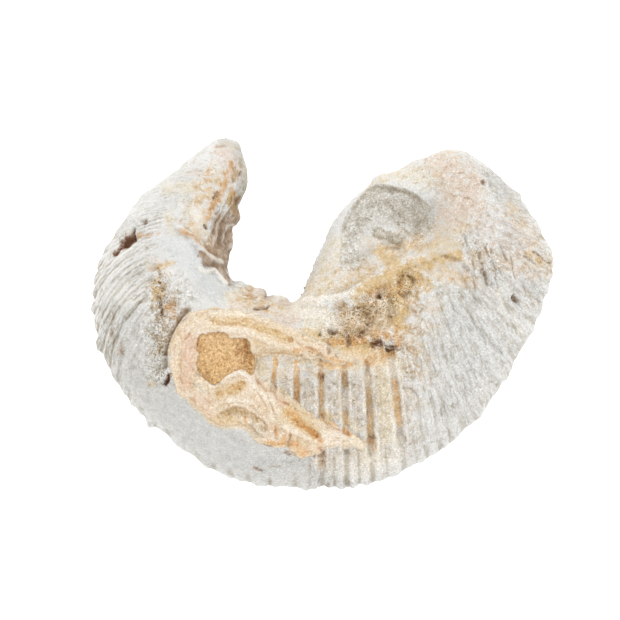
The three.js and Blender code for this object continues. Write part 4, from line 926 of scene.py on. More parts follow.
def sphere_grid():
    """A ball whose rings become the sections, with each vertex's ring and its place round the ring."""
    around = sum(SECTION_POINTS.values())
    bpy.ops.object.select_all(action="DESELECT")
    bpy.ops.mesh.primitive_uv_sphere_add(segments=around, ring_count=SECTIONS + 1, radius=1)
    ball = bpy.context.object
    co = vertex_places(ball.data)
    ring = np.rint(np.arccos(np.clip(co[:, 2], -1, 1)) / np.pi * (SECTIONS + 1)).astype(int)
    turn = np.rint(np.arctan2(co[:, 1], co[:, 0]) / (2 * np.pi) * around).astype(int) % around
    return ball, ring, turn


def big_oyster(material):
    """The big ribbed oyster: a ball whose rings are moved to the crescent's sections."""
    ball, ring, turn = sphere_grid()
    angles = section_angles()
    ribs_of = section_ribs(SECTIONS + 2)[1:-1]
    ribs, angle = [grid.ravel() for grid in np.meshgrid(ribs_of, angles, indexing="ij")]
    points, s, masks = shell_surface(ribs, angle, (SECTIONS, len(angles)))
    stain_middle_ribs(s, points, masks)
    stain_left_flank(s, points, masks)
    fill_grooves(s, points, masks)
    index = np.clip(ring - 1, 0, SECTIONS - 1) * len(angles) + turn
    co = points[index]
    co[ring == 0] = FRAMES[0][2]
    co[ring == SECTIONS + 1] = FRAMES[-1][2]
    masks = {kind: values[index] for kind, values in masks.items()}
    finish_piece(ball, "ribbed_shell", co, masks, "coxcomb_oyster", material)


# ---- the small oyster ----

OYSTER_OUTLINE = (
    (-22.4, 0.9), (-24.2, 0), (-25.7, -1.6), (-27, -3.9), (-27.9, -6.7), (-27.9, -9.6), (-27.4, -12.2),
    (-26.6, -14.2), (-24.8, -16.1), (-22.6, -18.2), (-20.5, -20), (-18, -20.9), (-14.6, -21.2),
    (-13, -22.7), (-11, -24), (-8.6, -24.3), (-6.8, -24), (-6.1, -25.4), (-4.1, -26.1), (-1.9, -25.6),
    (-0.1, -24.9), (2.4, -24.5), (5, -24.7), (7.5, -25), (7.8, -23.2), (5.6, -21.4), (2.8, -19.7),
    (-0.4, -18.6), (-3, -17), (-4.9, -15.8), (-6.8, -14.5), (-9, -12.9), (-11, -11.5), (-11.9, -9.8),
    (-11.7, -8), (-9, -7.8), (-4.5, -8), (-0.5, -8.3), (2.8, -9.6), (3.9, -8.3), (2.4, -6.5),
    (-0.5, -4.9), (-3.4, -3.3), (-6.7, -2), (-10.3, -0.7), (-13.6, 0.5), (-16.8, 1.1), (-20.4, 1.3),
)
CAVITY_OUTLINE = (
    (-22.8, -4.2), (-21.2, -3.6), (-18.3, -3.4), (-17.4, -4.4), (-15, -4.5), (-13.8, -5.1), (-13.2, -6.9),
    (-13, -8.7), (-13.4, -10.9), (-14.5, -10), (-16.1, -10.2), (-17.5, -11.1), (-18.8, -12.2),
    (-20.3, -12.7), (-21.5, -11.6), (-22.6, -10.5), (-23, -9.9), (-22.9, -6.9),
)
OYSTER_MARKS = (
    # the rim, the step inside it and the pinkish band
    ((-24.2, -0.2), (-26.4, -2.9), (-27.5, -5.8), (-27.5, -9.4), (-26.9, -12.7), (-25, -15.8), 0.8, 0.24, 3),
    ((-24.4, -3.4), (-25.9, -5.4), (-26.2, -9), (-25.8, -12.4), 0.25, -0.21, 3),
    ((-24.6, -4.7), (-24.8, -9.4), (-25, -12), 1, -0.14, 4),
    # the golden groove and the pale ridges on both sides of it
    ((-20.6, 0.1), (-17.2, 0.3), (-13.6, 0), (-10.6, -1.2), (-7.4, -2.4), (-4.5, -3.4), 0.6, 0.32, 3),
    ((-20, -1.4), (-17.2, -1.3), (-14.2, -1.5), 0.75, -0.45, 4),
    ((-12.4, -2.2), (-11.4, -2.6), (-8.8, -3.5), (-6.3, -4.6), 0.7, -0.45, 4),
    ((-6.3, -4.6), (-3.6, -5.8), (-0.8, -6.9), 0.4, -0.35, 3),
    ((-19.4, -3), (-16.5, -2.8), (-13.9, -3.2), (-11.4, -4.4), (-7.7, -5.9), (-3.7, -7.2), 0.65, 0.45, 3),
    ((-12, -6.2), (-9, -7.1), (-5.4, -7.6), 0.5, -0.24, 3),
    # the pale ridge round the tan lens, and the lens
    ((-20.3, -12.9), (-18.6, -11.9), (-16.8, -10.8), (-15.2, -10.3), (-13.7, -11.3), 0.42, 0.42, 3),
    ((-18.8, -14.2), (-16.8, -13.4), (-15.2, -12.9), 1, -0.3, 4),
    # the arch: its thin pale line, the striated hollow under it and the fill
    ((-19.4, -17.6), (-17.9, -16.7), (-16.1, -16.4), (-14.1, -16.8), (-12.3, -17.9), (-10.6, -19.3),
     (-9.6, -21), 0.3, 0.28, 3),
    ((-18.8, -18.4), (-16.5, -17.6), (-14.3, -18), (-12.3, -19), (-11, -20.2), 0.9, -0.5, 3),
    ((-16.4, -20), (-14.3, -20.1), (-12.3, -21.1), 0.9, -0.1, 3),
    # the wide pale ridge, the orange groove beside it and the strip below
    ((-20.1, -15.4), (-16.1, -15.2), (-12.8, -15.8), (-10.3, -17.4), (-7.7, -19.6), 0.8, 0.28, 3),
    ((-7.9, -15.9), (-6.3, -17.4), (-4.8, -19), (-3, -20.4), (-1.6, -21.9), 1, -0.5, 3),
    ((-7.2, -14.9), (-5.2, -16.4), (-2.7, -18.1), (0.2, -19.9), (2.8, -21.4), 0.45, 0.28, 3),
    ((-7.6, -19.8), (-4.8, -21.4), (-1.9, -22.8), (1.4, -23.5), (5.4, -23.8), 0.7, 0.35, 3),
    ((-12.2, -14.2), (-10.4, -17), 0.2, -0.21, 2), ((-10.8, -13.6), (-8.8, -18.6), 0.2, -0.21, 2),
    # the lumps along the lower edge
    ((-9.7, -22.6), (-8.1, -22.8), 1.2, 0.49, 3), ((-9, -21.4), (-8.4, -23.6), 0.25, -0.24, 2),
    ((-5, -24.2), (-4, -24.8), 1.3, 0.35, 3), ((-2.2, -24.2), 0.9, 0.28, 3), ((-12.6, -22.2), 0.8, 0.21, 3),
    ((-6.2, -21.6), (-6.6, -25), 0.25, -0.42, 2),
)
OYSTER_STAINS = {
    "pinkish": (
        ((1.4, -20.8), (5, -22.4), 1.1, 0.5), ((-24.6, -4.7), (-24.8, -9.4), (-25.2, -12.6), 1.4, 1.15),
        ((-11.8, -14), (-10, -17.6), (-12.6, -12.6), 1.7, 0.5), ((-1.2, -24.4), (1, -24.2), 1.2, 0.6),
        ((-9.6, -16), 1, 0.5), ((-8.6, -15.4), (-6.6, -16.8), 1, 0.9), ((-1.4, -5.6), (2, -7), 1.4, 0.4),
        ((-22.6, -14.6), (-20.6, -17.8), 1.5, 0.6),
    ),
    "pale": (
        ((-20.6, 0.3), (-17.2, 0.4), (-13.6, 0.2), (-10.6, -1), 0.6, 0.9),
        ((-18.6, -3), (-16.5, -2.7), (-14, -3.1), (-11.4, -4.3), (-8, -5.7), 0.6, 0.55),
        ((-20.3, -12.9), (-18.6, -11.9), (-16.8, -10.9), (-14.8, -10.6), (-12.9, -12.2), 0.7, 1.1),
        ((-13, -13), (-12.2, -10.6), 1.3, 0.9), ((-18, -15.6), (-13.4, -16), 0.7, 0.7),
        ((-8.6, -17.6), (-9.6, -18.6), 1, 0.7),
        ((-7.2, -20.2), (-4.8, -21.5), (-1.9, -22.8), (2.8, -23.4), 0.6, 1),
        ((-22.9, -12.6), (-21.8, -13.8), 1, 0.5), ((-11.6, -14.6), (-9.6, -15.6), 1.4, 0.8),
        ((-1, -21.8), (3, -22.6), (6.6, -23.8), 1.2, 0.75), ((-18, -20.8), (-16, -20.8), 0.7, 0.5),
    ),
    "grey": (
        ((-22.9, -13), (-22, -14), 1, 0.5), ((-13, -20.4), (-11.8, -21.4), 1.2, 0.7),
        ((-20.6, 0), 1.2, 0.5),
    ),
    "yellow": (
        ((-20, -1.4), (-17.2, -1.3), (-13.9, -1.4), 0.85, 0.8),
        ((-13.9, -1.5), (-11.4, -2.6), (-8.8, -3.5), (-6.3, -4.6), 0.8, 0.8),
        ((-5, -2.6), (0, -4.4), 1.4, 0.5), ((-18.6, -14.4), (-16.8, -13.6), (-15, -13), 1.2, 1),
        ((-6.4, -17.4), (-4.6, -19.6), (-2, -21.6), 1.4, 1), ((-9, -6.4), (-4.4, -7.4), 0.7, 0.5),
        ((-18.4, -19), (-16.4, -19.6), 1.2, 0.6), ((-26.4, -6), (-26.2, -10), 0.35, 0.6),
    ),
    "orange": (
        ((-0.6, -19), (2.6, -20.3), (4.8, -21.8), 0.4, 1), ((-0.8, -7.8), (1.4, -8.6), (3, -8.6), 0.9, 1),
        ((-16.4, -13.2), (-14.9, -12.8), 0.8, 0.35), ((-5.9, -17.6), (-4.8, -19.6), 1, 0.85),
        ((-4.6, -20), (-2.6, -20.9), (-1.4, -22.3), 0.6, 1), ((-14.4, -18.6), (-14.2, -19.8), 0.35, 0.9),
        ((-10.2, -23.2), (-8, -23.4), (-7.2, -22.4), 0.55, 0.9), ((-5.4, -23.8), (-3.8, -25), 1.1, 0.8),
        ((-9, -20.6), (-8.6, -22.4), 0.4, 0.7), ((-2, -21.8), (-0.6, -23), 0.6, 0.8),
        ((-5.6, -6.4), (-1.2, -6.8), 0.7, 0.5),
    ),
    "olive": (
        ((-18.4, -18.2), (-16.5, -17.5), (-14.3, -17.9), (-12.4, -18.9), 0.9, 0.8),
        ((-12, -2.4), (-8.8, -3.3), (-6.6, -4.2), 0.35, 0.7),
    ),
    "brown": (
        ((0.5, -4.7), (0.9, -6.9), 0.45, 1.2), ((-1.4, -7.4), (-0.4, -7), 0.4, 0.8),
        ((-11.2, -23.8), (-9.4, -24.2), 0.3, 0.8), ((-5, -19.4), (-5, -20), 0.3, 0.8),
        ((-1.5, -22.2), 0.3, 0.7), ((-13, -10.8), (-12.4, -8.2), 0.3, 0.7),
        ((-23.4, -11), (-22.4, -11.2), 0.35, 0.6), ((-25.4, -13.3), (-24.6, -13.5), 0.3, 0.5),
        ((-6.1, -25.2), (-5.6, -25.6), 0.4, 0.8), ((-0.6, -24.8), 0.4, 0.8),
        ((-11.6, -19), (-10.8, -19.8), 0.25, 0.6), ((-7, -16), (-5, -17.4), 0.2, 0.6),
        ((-0.4, -7.8), (-0.4, -9.2), 0.5, 1.1), ((-1.4, -3.9), (-0.6, -4.3), 0.28, 0.9),
        ((1.2, -4.6), (1.6, -6.2), 0.28, 1), ((2, -7.2), (2.4, -8), 0.25, 0.9), ((-4, -7.4), 0.28, 0.9),
        ((-3, -6.7), (-2.4, -7), 0.22, 0.7),
    ),
}
# Where the small oyster's edge has worn down almost to the big one.
LOW_EDGES = (
    ((-22, 1.4), (-16, 1.4), (-13.6, 0.9), (-6.7, -1.6), (-0.5, -4.5), (3.9, -8), 2, 1),
    ((-24.4, -17.6), (-21, -20.6), (-18.3, -21.4), (-14, -21.6), 2, 1),
    ((0, -6.6), (3.9, -8.6), 3, 1), ((-12, -9), (-11.4, -12), (-8, -14.6), 1.2, 0.8),
    ((-3, -16.8), (2, -19.6), (7, -23), 1.4, 0.9), ((3, -24.6), (8, -24.6), 2.6, 1),
)
# The grooves in which fine cross lines stand.
HATCHED = (
    ((-20, -1.4), (-17.2, -1.3), (-13.9, -1.4), (-11.4, -2.6), (-8.8, -3.5), (-6.3, -4.6), 0.8, 1),
    ((-18.8, -18.2), (-16.5, -17.5), (-14.3, -18), (-12.3, -19.1), (-11, -20.4), 0.8, 1),
)


def height_finder(ribbed):
    """A function that gives the height of the big oyster's skin at plan places."""
    ribs_of, turns = np.linspace(0.3, LAST_RIB - 0.3, 900), np.linspace(0, np.pi, 90)
    ribs, angle = [grid.ravel() for grid in np.meshgrid(ribs_of, turns, indexing="ij")]
    points, _ = skin_points(ribs, angle, ribbed)
    faces = []
    for i in range(len(ribs_of) - 1):
        row = i * len(turns)
        for j in range(row, row + len(turns) - 1):
            faces.append((j, j + len(turns), j + len(turns) + 1, j + 1))
    tree = BVHTree.FromPolygons(points.tolist(), faces)
    down = Vector((0, 0, -1))

    def heights(x, y):
        hits = [tree.ray_cast(Vector((a, b, 100)), down)[0] for a, b in zip(x, y)]
        return np.array([hit.z if hit else 0.0 for hit in hits])

    return heights


def plan_grid(outline, spare):
    """A flat slab of grid cells over an outline, and which of its vertices are on its underside."""
    low, high = np.min(outline, axis=0) - spare, np.max(outline, axis=0) + spare
    size = high - low
    steps = np.ceil(size / OYSTER_CELL).astype(int)
    bpy.ops.object.select_all(action="DESELECT")
    bpy.ops.mesh.primitive_grid_add(x_subdivisions=int(steps[0]), y_subdivisions=int(steps[1]), size=1)
    grid = bpy.context.object
    mesh = grid.data
    plan = vertex_places(mesh)[:, :2] * size + (low + high) / 2
    mesh.vertices.foreach_set("co", np.column_stack([plan, np.zeros(len(plan))]).ravel())
    far_outside = depth_inside(plan[:, 0], plan[:, 1], outline) < -spare * 0.7
    bpy.ops.object.mode_set(mode="EDIT")
    bpy.ops.mesh.select_mode(type="VERT")
    bpy.ops.mesh.select_all(action="DESELECT")
    bpy.ops.object.mode_set(mode="OBJECT")
    mesh.vertices.foreach_set("select", far_outside)
    bpy.ops.object.mode_set(mode="EDIT")
    bpy.ops.mesh.delete(type="VERT")
    bpy.ops.mesh.select_all(action="SELECT")
    bpy.ops.mesh.extrude_region_move(TRANSFORM_OT_translate={"value": (0, 0, -1)})
    bpy.ops.object.mode_set(mode="OBJECT")
    x, y, z = vertex_places(mesh).T
    return grid, x, y, z < -0.5


def oyster_rise(x, y, z, inside, cavity):
    """How far the small oyster's back stands over the skin of the big one."""
    p = np.column_stack([x, y, z])
    sx, sy = strayed(p, 0.16, 1.3, 31)
    low = painted(sx, sy, LOW_EDGES)
    stands, wall = OYSTER_STANDS * (1 - 0.55 * low), mix(0.5, 0.04, low)
    rise = mix(-0.7, wall, smooth_step(-0.2, 0.12, inside))
    rise += (stands - wall) * smooth_step(0, mix(2.0, 3.6, low), inside)
    rise += carved(sx, sy, OYSTER_MARKS)
    across = sx + 0.25 * sy
    hatch = np.cos(2 * np.pi * across / HATCH_PITCH) * (0.6 + 0.4 * lumps(p, 1.5, 33))
    rise += 0.07 * hatch * painted(sx, sy, HATCHED)
    rise += 0.06 * lumps(p, 0.6, 34, 2) + 0.10 * lumps(p, 2.2, 35, 2)
    rise -= 0.25 * bump(near_seeds(p, 2.3, 36), 0.25, 3)
    edge_lines = np.sin(2 * np.pi * (inside + 0.3 * lumps(p, 3, 37)) / EDGE_LINE_PITCH)
    rise += 0.03 * edge_lines * (1 - smooth_step(2.5, 4, inside))
    return mix(rise, np.minimum(rise, OYSTER_STANDS - CAVITY_DEPTH), smooth_step(-0.12, 0.12, cavity))


def plan_hollowness(x, y, z, under):
    """How far each place on the back lies under its near and its wider surroundings."""
    i = np.rint((x - x.min()) / OYSTER_CELL).astype(int)
    j = np.rint((y - y.min()) / OYSTER_CELL).astype(int)
    top = ~under
    heights = np.full((i.max() + 3, j.max() + 3), np.nan)
    heights[i[top], j[top]] = z[top]
    mean = np.where(np.isnan(heights), np.nanmean(heights), heights)
    results = []
    for times, depth in ((3, 0.06), (26, 0.35)):
        for _ in range(times):
            mean = (mean + np.roll(mean, 1, 0) + np.roll(mean, -1, 0)) / 3
            mean = (mean + np.roll(mean, 1, 1) + np.roll(mean, -1, 1)) / 3
        results.append(np.clip((mean[i, j] - z) / depth, -1, 1) * top)
    return results


def small_oyster(material, smooth_skin, ribbed_skin):
    """The small oyster: a slab with a worked back, sunk into the skin of the big one."""
    grid, x, y, under = plan_grid(OYSTER_OUTLINE, 0.9)
    ground = smooth_skin(x, y)
    ribbed = ribbed_skin(x, y)
    p = np.column_stack([x, y, ground])
    inside = depth_inside(*strayed(p, 0.3, 1.2, 30), OYSTER_OUTLINE)
    cavity = depth_inside(*strayed(p, 0.28, 0.8, 32), CAVITY_OUTLINE)
    back = ground + oyster_rise(x, y, ground, inside, cavity)
    # away from the edge and the cavity the back hides the big oyster's ribs
    cover = ribbed + 0.12 + 0.1 * inside
    back = np.where((inside > 0.3) & (cavity < -0.2), np.maximum(back, cover), back)
    sunk = np.minimum(ground, ribbed) - OYSTER_SUNK
    z = np.where(under, sunk, back)
    stain_x, stain_y = strayed(p, 0.2, 1.2, 38)
    masks = {kind: painted(stain_x, stain_y, strokes) for kind, strokes in OYSTER_STAINS.items()}
    # painted shade for the grooves and hollows of the back
    masks["fine_hollow"], masks["hollow"] = plan_hollowness(x, y, z, under)
    masks["hollow"] = masks["hollow"] * smooth_step(0.2, 1.2, inside)
    masks["fine_hollow"] = masks["fine_hollow"] * smooth_step(0, 0.5, inside)
    masks["edge"] = 0.9 * painted(stain_x, stain_y, LOW_EDGES) * (1 - smooth_step(0, 1.3, inside))
    masks["grainy"] = np.full(len(x), 0.8)
    co = np.column_stack([x, y, z])
    finish_piece(grid, "iron_stained_oyster", co, masks, "small_oyster", material)


def sand_filling(material, smooth_skin):
    """The hardened sand in the small oyster's cavity, darker and pitted at its right end."""
    grid, x, y, under = plan_grid(CAVITY_OUTLINE, 0.7)
    ground = smooth_skin(x, y)
    p = np.column_stack([x, y, ground])
    slope = 0.25 * smooth_step(-13.4, -12.6, x) - 0.35 * bump(x + 14, 1.3)
    top = ground + OYSTER_STANDS - SAND_DEPTH + slope
    top += 0.10 * lumps(p, 0.5, 41, 2) + 0.14 * lumps(p, (1.4, 2.6, 2), 42, 2)
    top -= 0.35 * bump(near_seeds(p, 1.2, 43), 0.26) * smooth_step(-16.5, -14.5, x)
    z = np.where(under, ground + OYSTER_STANDS - SAND_UNDERSIDE, top)
    masks = {"shade": 1.2 * bump(np.hypot(x + 13.7, y + 7), 2.4)}
    # painted shade for the hollows of the sand
    masks["fine_hollow"], hollow = plan_hollowness(x, y, z, under)
    masks["hollow"] = 0.4 * hollow
    masks["grainy"] = np.ones(len(x))
    co = np.column_stack([x, y, z])
    finish_piece(grid, "sandstone_filling", co, masks, "sand_filling", material)


# ---- materials ----


def linear(hex_colour):
    """A linear colour from an sRGB hex value."""
    parts = [int(hex_colour[i:i + 2], 16) / 255 for i in (1, 3, 5)]
    return (*[c / 12.92 if c <= 0.04045 else ((c + 0.055) / 1.055) ** 2.4 for c in parts], 1)


def add_node(tree, kind, links=None, out=0, **settings):
    """Adds a node with its settings and gives its output. A link is a socket or a plain value."""
    node = tree.nodes.new("ShaderNode" + kind)
    for name, value in settings.items():
        setattr(node, name, value)
    for socket, value in (links or {}).items():
        if isinstance(value, bpy.types.NodeSocket):
            tree.links.new(value, node.inputs[socket])
        else:
            node.inputs[socket].default_value = value
    return node.outputs[out]


SHARE, UNDER, OVER = 0, 6, 7  # the sockets of a Mix node that mixes colours
COLOURS = {"out": 2, "data_type": "RGBA"}  # its output and its setting


def per_mm(size_mm):
    """Noise scale for a pattern whose grains have this size in millimetres."""
    return 1 / (size_mm * MM)


# Stains in the order in which they lie on one another: mask, two colours, how ragged and how grainy
# its edge is, and how much of the stone it hides.
SHELL_LAYERS = (
    ("dull", "#c1c0bc", "#b7b6b0", 0.5, 0.4, 0.8),
    ("bluish", "#d4d8da", "#c8ced2", 0.6, 0.5, 0.75),
    ("dust", "#e3cdb0", "#d4b98f", 1.0, 0.3, 0.8),
    ("mottled", "#dfd7cc", "#c3b8aa", 1.0, 0.8, 0.8),
    ("cream", "#e3d7c1", "#d6c8aa", 0.8, 0.5, 0.85),
    ("pinkish", "#dacdc2", "#cfbcad", 0.9, 0.4, 0.85),
    ("grey", "#c9c2b3", "#a09787", 0.8, 1.1, 0.85),
    ("olive", "#c0b8a2", "#988d74", 1.2, 0.6, 0.85),
    ("sediment", "#ccb087", "#997d58", 1.2, 0.5, 0.85),
    ("yellow", "#dcc498", "#cba970", 1.0, 0.35, 0.8),
    ("silt", "#ead0a6", "#dfb985", 0.5, 0.4, 0.85),
    ("orange", "#dbb587", "#c4935a", 1.1, 0.4, 0.85),
    ("brown", "#b59a7c", "#846850", 1.0, 0.6, 0.85),
    ("pale", "#f1ede5", "#e6dfd2", 0.8, 0.5, 0.85),
    ("dark", "#9a6a48", "#4f3120", 0.8, 0.6, 0.97),
)
OYSTER_LAYERS = (
    ("pinkish", "#dfc6b1", "#d3b095", 0.8, 0.5, 0.8),
    ("pale", "#f1e9dc", "#e9decb", 0.7, 0.5, 0.85),
    ("grey", "#cdc7b8", "#b8b09c", 0.9, 0.6, 0.8),
    ("olive", "#c9b385", "#ac966b", 0.9, 0.6, 0.8),
    ("yellow", "#e0cba0", "#d0b07c", 0.8, 0.3, 0.8),
    ("orange", "#dfb37c", "#cb9556", 0.9, 0.35, 0.85),
    ("brown", "#b08f6c", "#7d5f45", 0.8, 0.6, 0.85),
    ("edge", "#dad4c8", "#d0c2a8", 1.5, 1.0, 0.9),
)
SAND_LAYERS = (("shade", "#c99a62", "#8a6440", 1.2, 1.0, 0.75),)

# The clouds of each stone: size in millimetres, detail, roughness and how curled they are. The three
# finest are drawn coarser than real grains, so that they show.
CLOUDS = {
    "broad": (7, 4, 0.6, 0),
    "ragged": (1.5, 6, 0.7, 0.5),
    "fine": (0.42, 3, 0.6, 1),
    "grain": (0.28, 1, 0.6, 0.6),
    "glints": (0.34, 1, 0.6, 0.8),
}
RUBBLE_DOTS = "#958267"  # the tint of the dark grains in the rubble
GLINT_TINT = "#908f90"  # how much the painted glints, pale specks of light caught by the grain, brighten the stone under them
STREAK_COUNTS = (4.5, 8, 3)  # short streaks to a rib, and breaks between crest and margin
LINE_COUNTS = (2.2, 2.4, 3)  # the same for thin long lines
STAIN_EDGE = (0.15, 0.95)  # a stain starts to show at the first of these strengths, and is full at the second


def stained(tree, colour, layers, ragged, fine):
    """Lays ragged, grainy stains over a colour."""
    for kind, first, second, raggedness, graininess, cover in layers:
        middle = (raggedness + graininess) / 2
        mask = add_node(tree, "Attribute", out="Fac", attribute_name=kind)
        edge = add_node(tree, "Math", {0: ragged, 1: raggedness, 2: mask}, operation="MULTIPLY_ADD")
        edge = add_node(tree, "Math", {0: fine, 1: graininess, 2: edge}, operation="MULTIPLY_ADD")
        reach = {"From Min": STAIN_EDGE[0] + middle, "From Max": STAIN_EDGE[1] + middle, "To Max": cover}
        share = add_node(tree, "MapRange", {"Value": edge, **reach})
        near = add_node(tree, "MapRange", {"Value": mask, "From Min": 0.02, "From Max": 0.4})
        share = add_node(tree, "Math", {0: share, 1: near}, operation="MULTIPLY")
        stain = add_node(tree, "Mix", {SHARE: ragged, UNDER: linear(first), OVER: linear(second)}, **COLOURS)
        colour = add_node(tree, "Mix", {SHARE: share, UNDER: colour, OVER: stain}, **COLOURS)
    return colour


def riblet_lines(tree):
    """Short soft streaks and thin long lines that run with the ribs, from 0 to 1."""
    on_rib = add_node(tree, "Attribute", out="Vector", attribute_name="rib_place")
    drawn = add_node(tree, "Mapping", {"Vector": on_rib, "Scale": STREAK_COUNTS})
    streaks = add_node(tree, "TexNoise", {"Vector": drawn, "Scale": 1, "Detail": 4})
    streaks = add_node(tree, "MapRange", {"Value": streaks, "From Min": 0.42, "From Max": 0.75})
    shown = add_node(tree, "Attribute", out="Fac", attribute_name="streaky")
    streaks = add_node(tree, "Math", {0: streaks, 1: shown}, operation="MULTIPLY")
    # a thin line runs wherever a long drawn cloud passes its middle value
    drawn = add_node(tree, "Mapping", {"Vector": on_rib, "Scale": LINE_COUNTS})
    lines = add_node(tree, "TexNoise", {"Vector": drawn, "Scale": 1, "Detail": 3, "Roughness": 0.6})
    lines = add_node(tree, "Math", {0: lines, 1: 0.5}, operation="SUBTRACT")
    lines = add_node(tree, "Math", {0: lines}, operation="ABSOLUTE")
    lines = add_node(tree, "MapRange", {"Value": lines, "From Max": 0.035, "To Min": 1, "To Max": 0})
    shown = add_node(tree, "Attribute", out="Fac", attribute_name="lined")
    lines = add_node(tree, "Math", {0: lines, 1: shown}, operation="MULTIPLY")
    return add_node(tree, "Math", {0: streaks, 1: lines}, operation="MAXIMUM")


def stone_clouds(tree):
    """The clouds of one stone, each from 0 to 1."""
    place = add_node(tree, "TexCoord", out="Object")
    clouds = {}
    for cloud, (size_mm, detail, rough, curl) in CLOUDS.items():
        form = {"Scale": per_mm(size_mm), "Detail": detail, "Roughness": rough, "Distortion": curl}
        value = add_node(tree, "TexNoise", {"Vector": place, **form})
        clouds[cloud] = add_node(tree, "MapRange", {"Value": value, "From Min": 0.32, "From Max": 0.68})
    return clouds


def weathered_stone(name, tones, layers, mottle, hollow_shade, specks, roughness, riblets=False):
    """A matt stone: two tones, mottling, ragged stains, painted shade in its hollows, dark specks, painted
    glints.
    """
    material = bpy.data.materials.new(name)
    material.use_nodes = True
    tree = material.node_tree
    shader = tree.nodes["Principled BSDF"]
    clouds = stone_clouds(tree)
    ragged, fine, grain = clouds["ragged"], clouds["fine"], clouds["grain"]
    under, over = [linear(tone) for tone in tones]
    colour = add_node(tree, "Mix", {SHARE: clouds["broad"], UNDER: under, OVER: over}, **COLOURS)
    mottling = add_node(tree, "MapRange", {"Value": ragged, "From Min": 0.45, "To Max": 0.6})
    colour = add_node(tree, "Mix", {SHARE: mottling, UNDER: colour, OVER: linear(mottle)}, **COLOURS)
    colour = stained(tree, colour, layers, ragged, fine)
    height = add_node(tree, "Math", {0: ragged, 1: 0.5, 2: fine}, operation="MULTIPLY_ADD")
    height = add_node(tree, "Math", {0: grain, 1: 0.8, 2: height}, operation="MULTIPLY_ADD")
    kinds = ("hollow", "fine_hollow", "grainy")
    hollow, fine_hollow, grainy = [add_node(tree, "Attribute", out="Fac", attribute_name=k) for k in kinds]
    clusters = add_node(tree, "Math", {0: ragged, 1: fine}, operation="MULTIPLY")
    grains = add_node(tree, "Math", {0: grain, 1: grainy}, operation="MULTIPLY")
    # what darkens the stone, painted shade in its hollows and its own dark specks, dots and lines: where it
    # lies, where that starts, how much it does, and its colour
    darkened = [
        (hollow, 0, 0.5, hollow_shade),
        (fine_hollow, 0, 0.4, hollow_shade),
        (clusters, 0.35, 0.6, specks),
        (grains, 0.4, 0.6, specks),
    ]
    if riblets:
        rubble = add_node(tree, "Attribute", out="Fac", attribute_name="rubble")
        dots = add_node(tree, "Math", {0: grain, 1: rubble}, operation="MULTIPLY")
        lines = riblet_lines(tree)
        darkened += [(dots, 0.55, 0.8, RUBBLE_DOTS), (lines, 0.3, 0.75, specks)]
        height = add_node(tree, "Math", {0: lines, 1: -1.2, 2: height}, operation="MULTIPLY_ADD")
    for value, start, strength, tint in darkened:
        share = add_node(tree, "MapRange", {"Value": value, "From Min": start, "To Max": strength})
        tinted = {SHARE: share, UNDER: colour, OVER: linear(tint)}
        colour = add_node(tree, "Mix", tinted, blend_type="MULTIPLY", **COLOURS)
    # painted glints: pale specks that brighten the stone, as light caught by its grains would
    pale = add_node(tree, "MapRange", {"Value": clouds["glints"], "From Min": 0.5})
    pale = add_node(tree, "Math", {0: pale, 1: grainy}, operation="MULTIPLY")
    glowing = {SHARE: pale, UNDER: colour, OVER: linear(GLINT_TINT)}
    colour = add_node(tree, "Mix", glowing, blend_type="DODGE", **COLOURS)
    relief = add_node(tree, "Bump", {"Strength": 0.6, "Distance": 0.2 * MM, "Height": height})
    tree.links.new(colour, shader.inputs["Base Color"])
    tree.links.new(relief, shader.inputs["Normal"])
    shader.inputs["Roughness"].default_value = roughness
    shader.inputs["Specular IOR Level"].default_value = 0.25
    return material


# In each stone below, the colour given after the mottle tints the painted shade in its hollows.
# Chalky calcite of an old shell, dulled by weather: matt, a cool greyish white with grey specks.
chalk = weathered_stone(
    "weathered_chalky_calcite", ("#dddcd9", "#d5d4d0"), SHELL_LAYERS,
    mottle="#d0ccc4", hollow_shade="#c9beac", specks="#aaa499", roughness=0.85, riblets=True,
)
# Calcite stained by iron as it lay buried: matt, cream to orange.
stained_calcite = weathered_stone(
    "iron_stained_calcite", ("#e4d7c6", "#dccaab"), OYSTER_LAYERS,
    mottle="#d6bb91", hollow_shade="#d3b288", specks="#bb9a76", roughness=0.8,
)
# Fine sand hardened in the hollow: very matt, golden brown and grainy.
sandstone = weathered_stone(
    "hardened_golden_sand", ("#e2c294", "#d8b480"), SAND_LAYERS,
    mottle="#cda771", hollow_shade="#b58e5e", specks="#a67c54", roughness=0.95,
)

# ---- the pieces ----

big_oyster(chalk)
find_smooth = height_finder(False)
small_oyster(stained_calcite, find_smooth, height_finder(True))
sand_filling(sandstone, find_smooth)

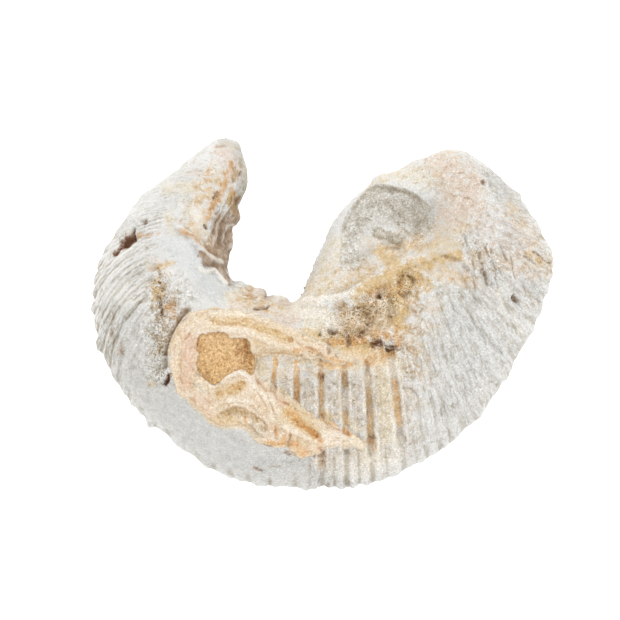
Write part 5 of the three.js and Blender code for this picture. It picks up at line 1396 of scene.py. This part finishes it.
# ---- floor, light and camera ----

FIELD = 0.1138  # width of what the camera sees at the fossil's half height
HALF_HEIGHT = 0.013
LENS, SENSOR = 300, 36  # a long lens, so that the fossil is seen almost without perspective
VIEW_CENTRE = (-0.0023, 0.00074)
FLOOR_SIZE = 4
LIGHT_SIZE = 1.0
LIGHTS = (("window", (-0.35, 0.8, 1.1), 2.8), ("reflector", (1.0, 0.05, 0.7), 1.2))
SKY = 1.17  # strength of the even white light from all round


def studio_floor():
    """A matt white board that glows a little, so that it stays white under the fossil's shadow."""
    bpy.ops.object.select_all(action="DESELECT")
    bpy.ops.mesh.primitive_plane_add(size=FLOOR_SIZE)
    floor = bpy.context.object
    floor.name = "floor"
    material = bpy.data.materials.new("matt_white_board")
    material.use_nodes = True
    shader = material.node_tree.nodes["Principled BSDF"]
    settings = {
        "Base Color": linear("#fcfcfc"),
        "Emission Color": linear("#ffffff"),
        "Emission Strength": 0.5,
        "Roughness": 1,
        "Specular IOR Level": 0,
    }
    for socket, value in settings.items():
        shader.inputs[socket].default_value = value
    floor.data.materials.append(material)


def soft_light(name, place, energy):
    """A square soft light that faces the fossil."""
    light = bpy.data.objects.new(name, bpy.data.lights.new(name, "AREA"))
    bpy.context.scene.collection.objects.link(light)
    light.data.size = LIGHT_SIZE
    light.data.energy = energy
    light.location = place
    light.rotation_euler = (-Vector(place)).to_track_quat("-Z", "Y").to_euler()


studio_floor()
for name, place, energy in LIGHTS:
    soft_light(name, place, energy)
scene = bpy.context.scene
scene.world = bpy.data.worlds.new("studio")
scene.world.use_nodes = True
sky = scene.world.node_tree.nodes["Background"]
sky.inputs["Color"].default_value = (1, 1, 1, 1)
sky.inputs["Strength"].default_value = SKY
scene.view_settings.view_transform = "Standard"
camera = bpy.data.objects.new("camera", bpy.data.cameras.new("camera"))
scene.collection.objects.link(camera)
camera.data.lens = LENS
camera.data.sensor_width = SENSOR
camera.location = (*VIEW_CENTRE, HALF_HEIGHT + FIELD * LENS / SENSOR)
scene.camera = camera
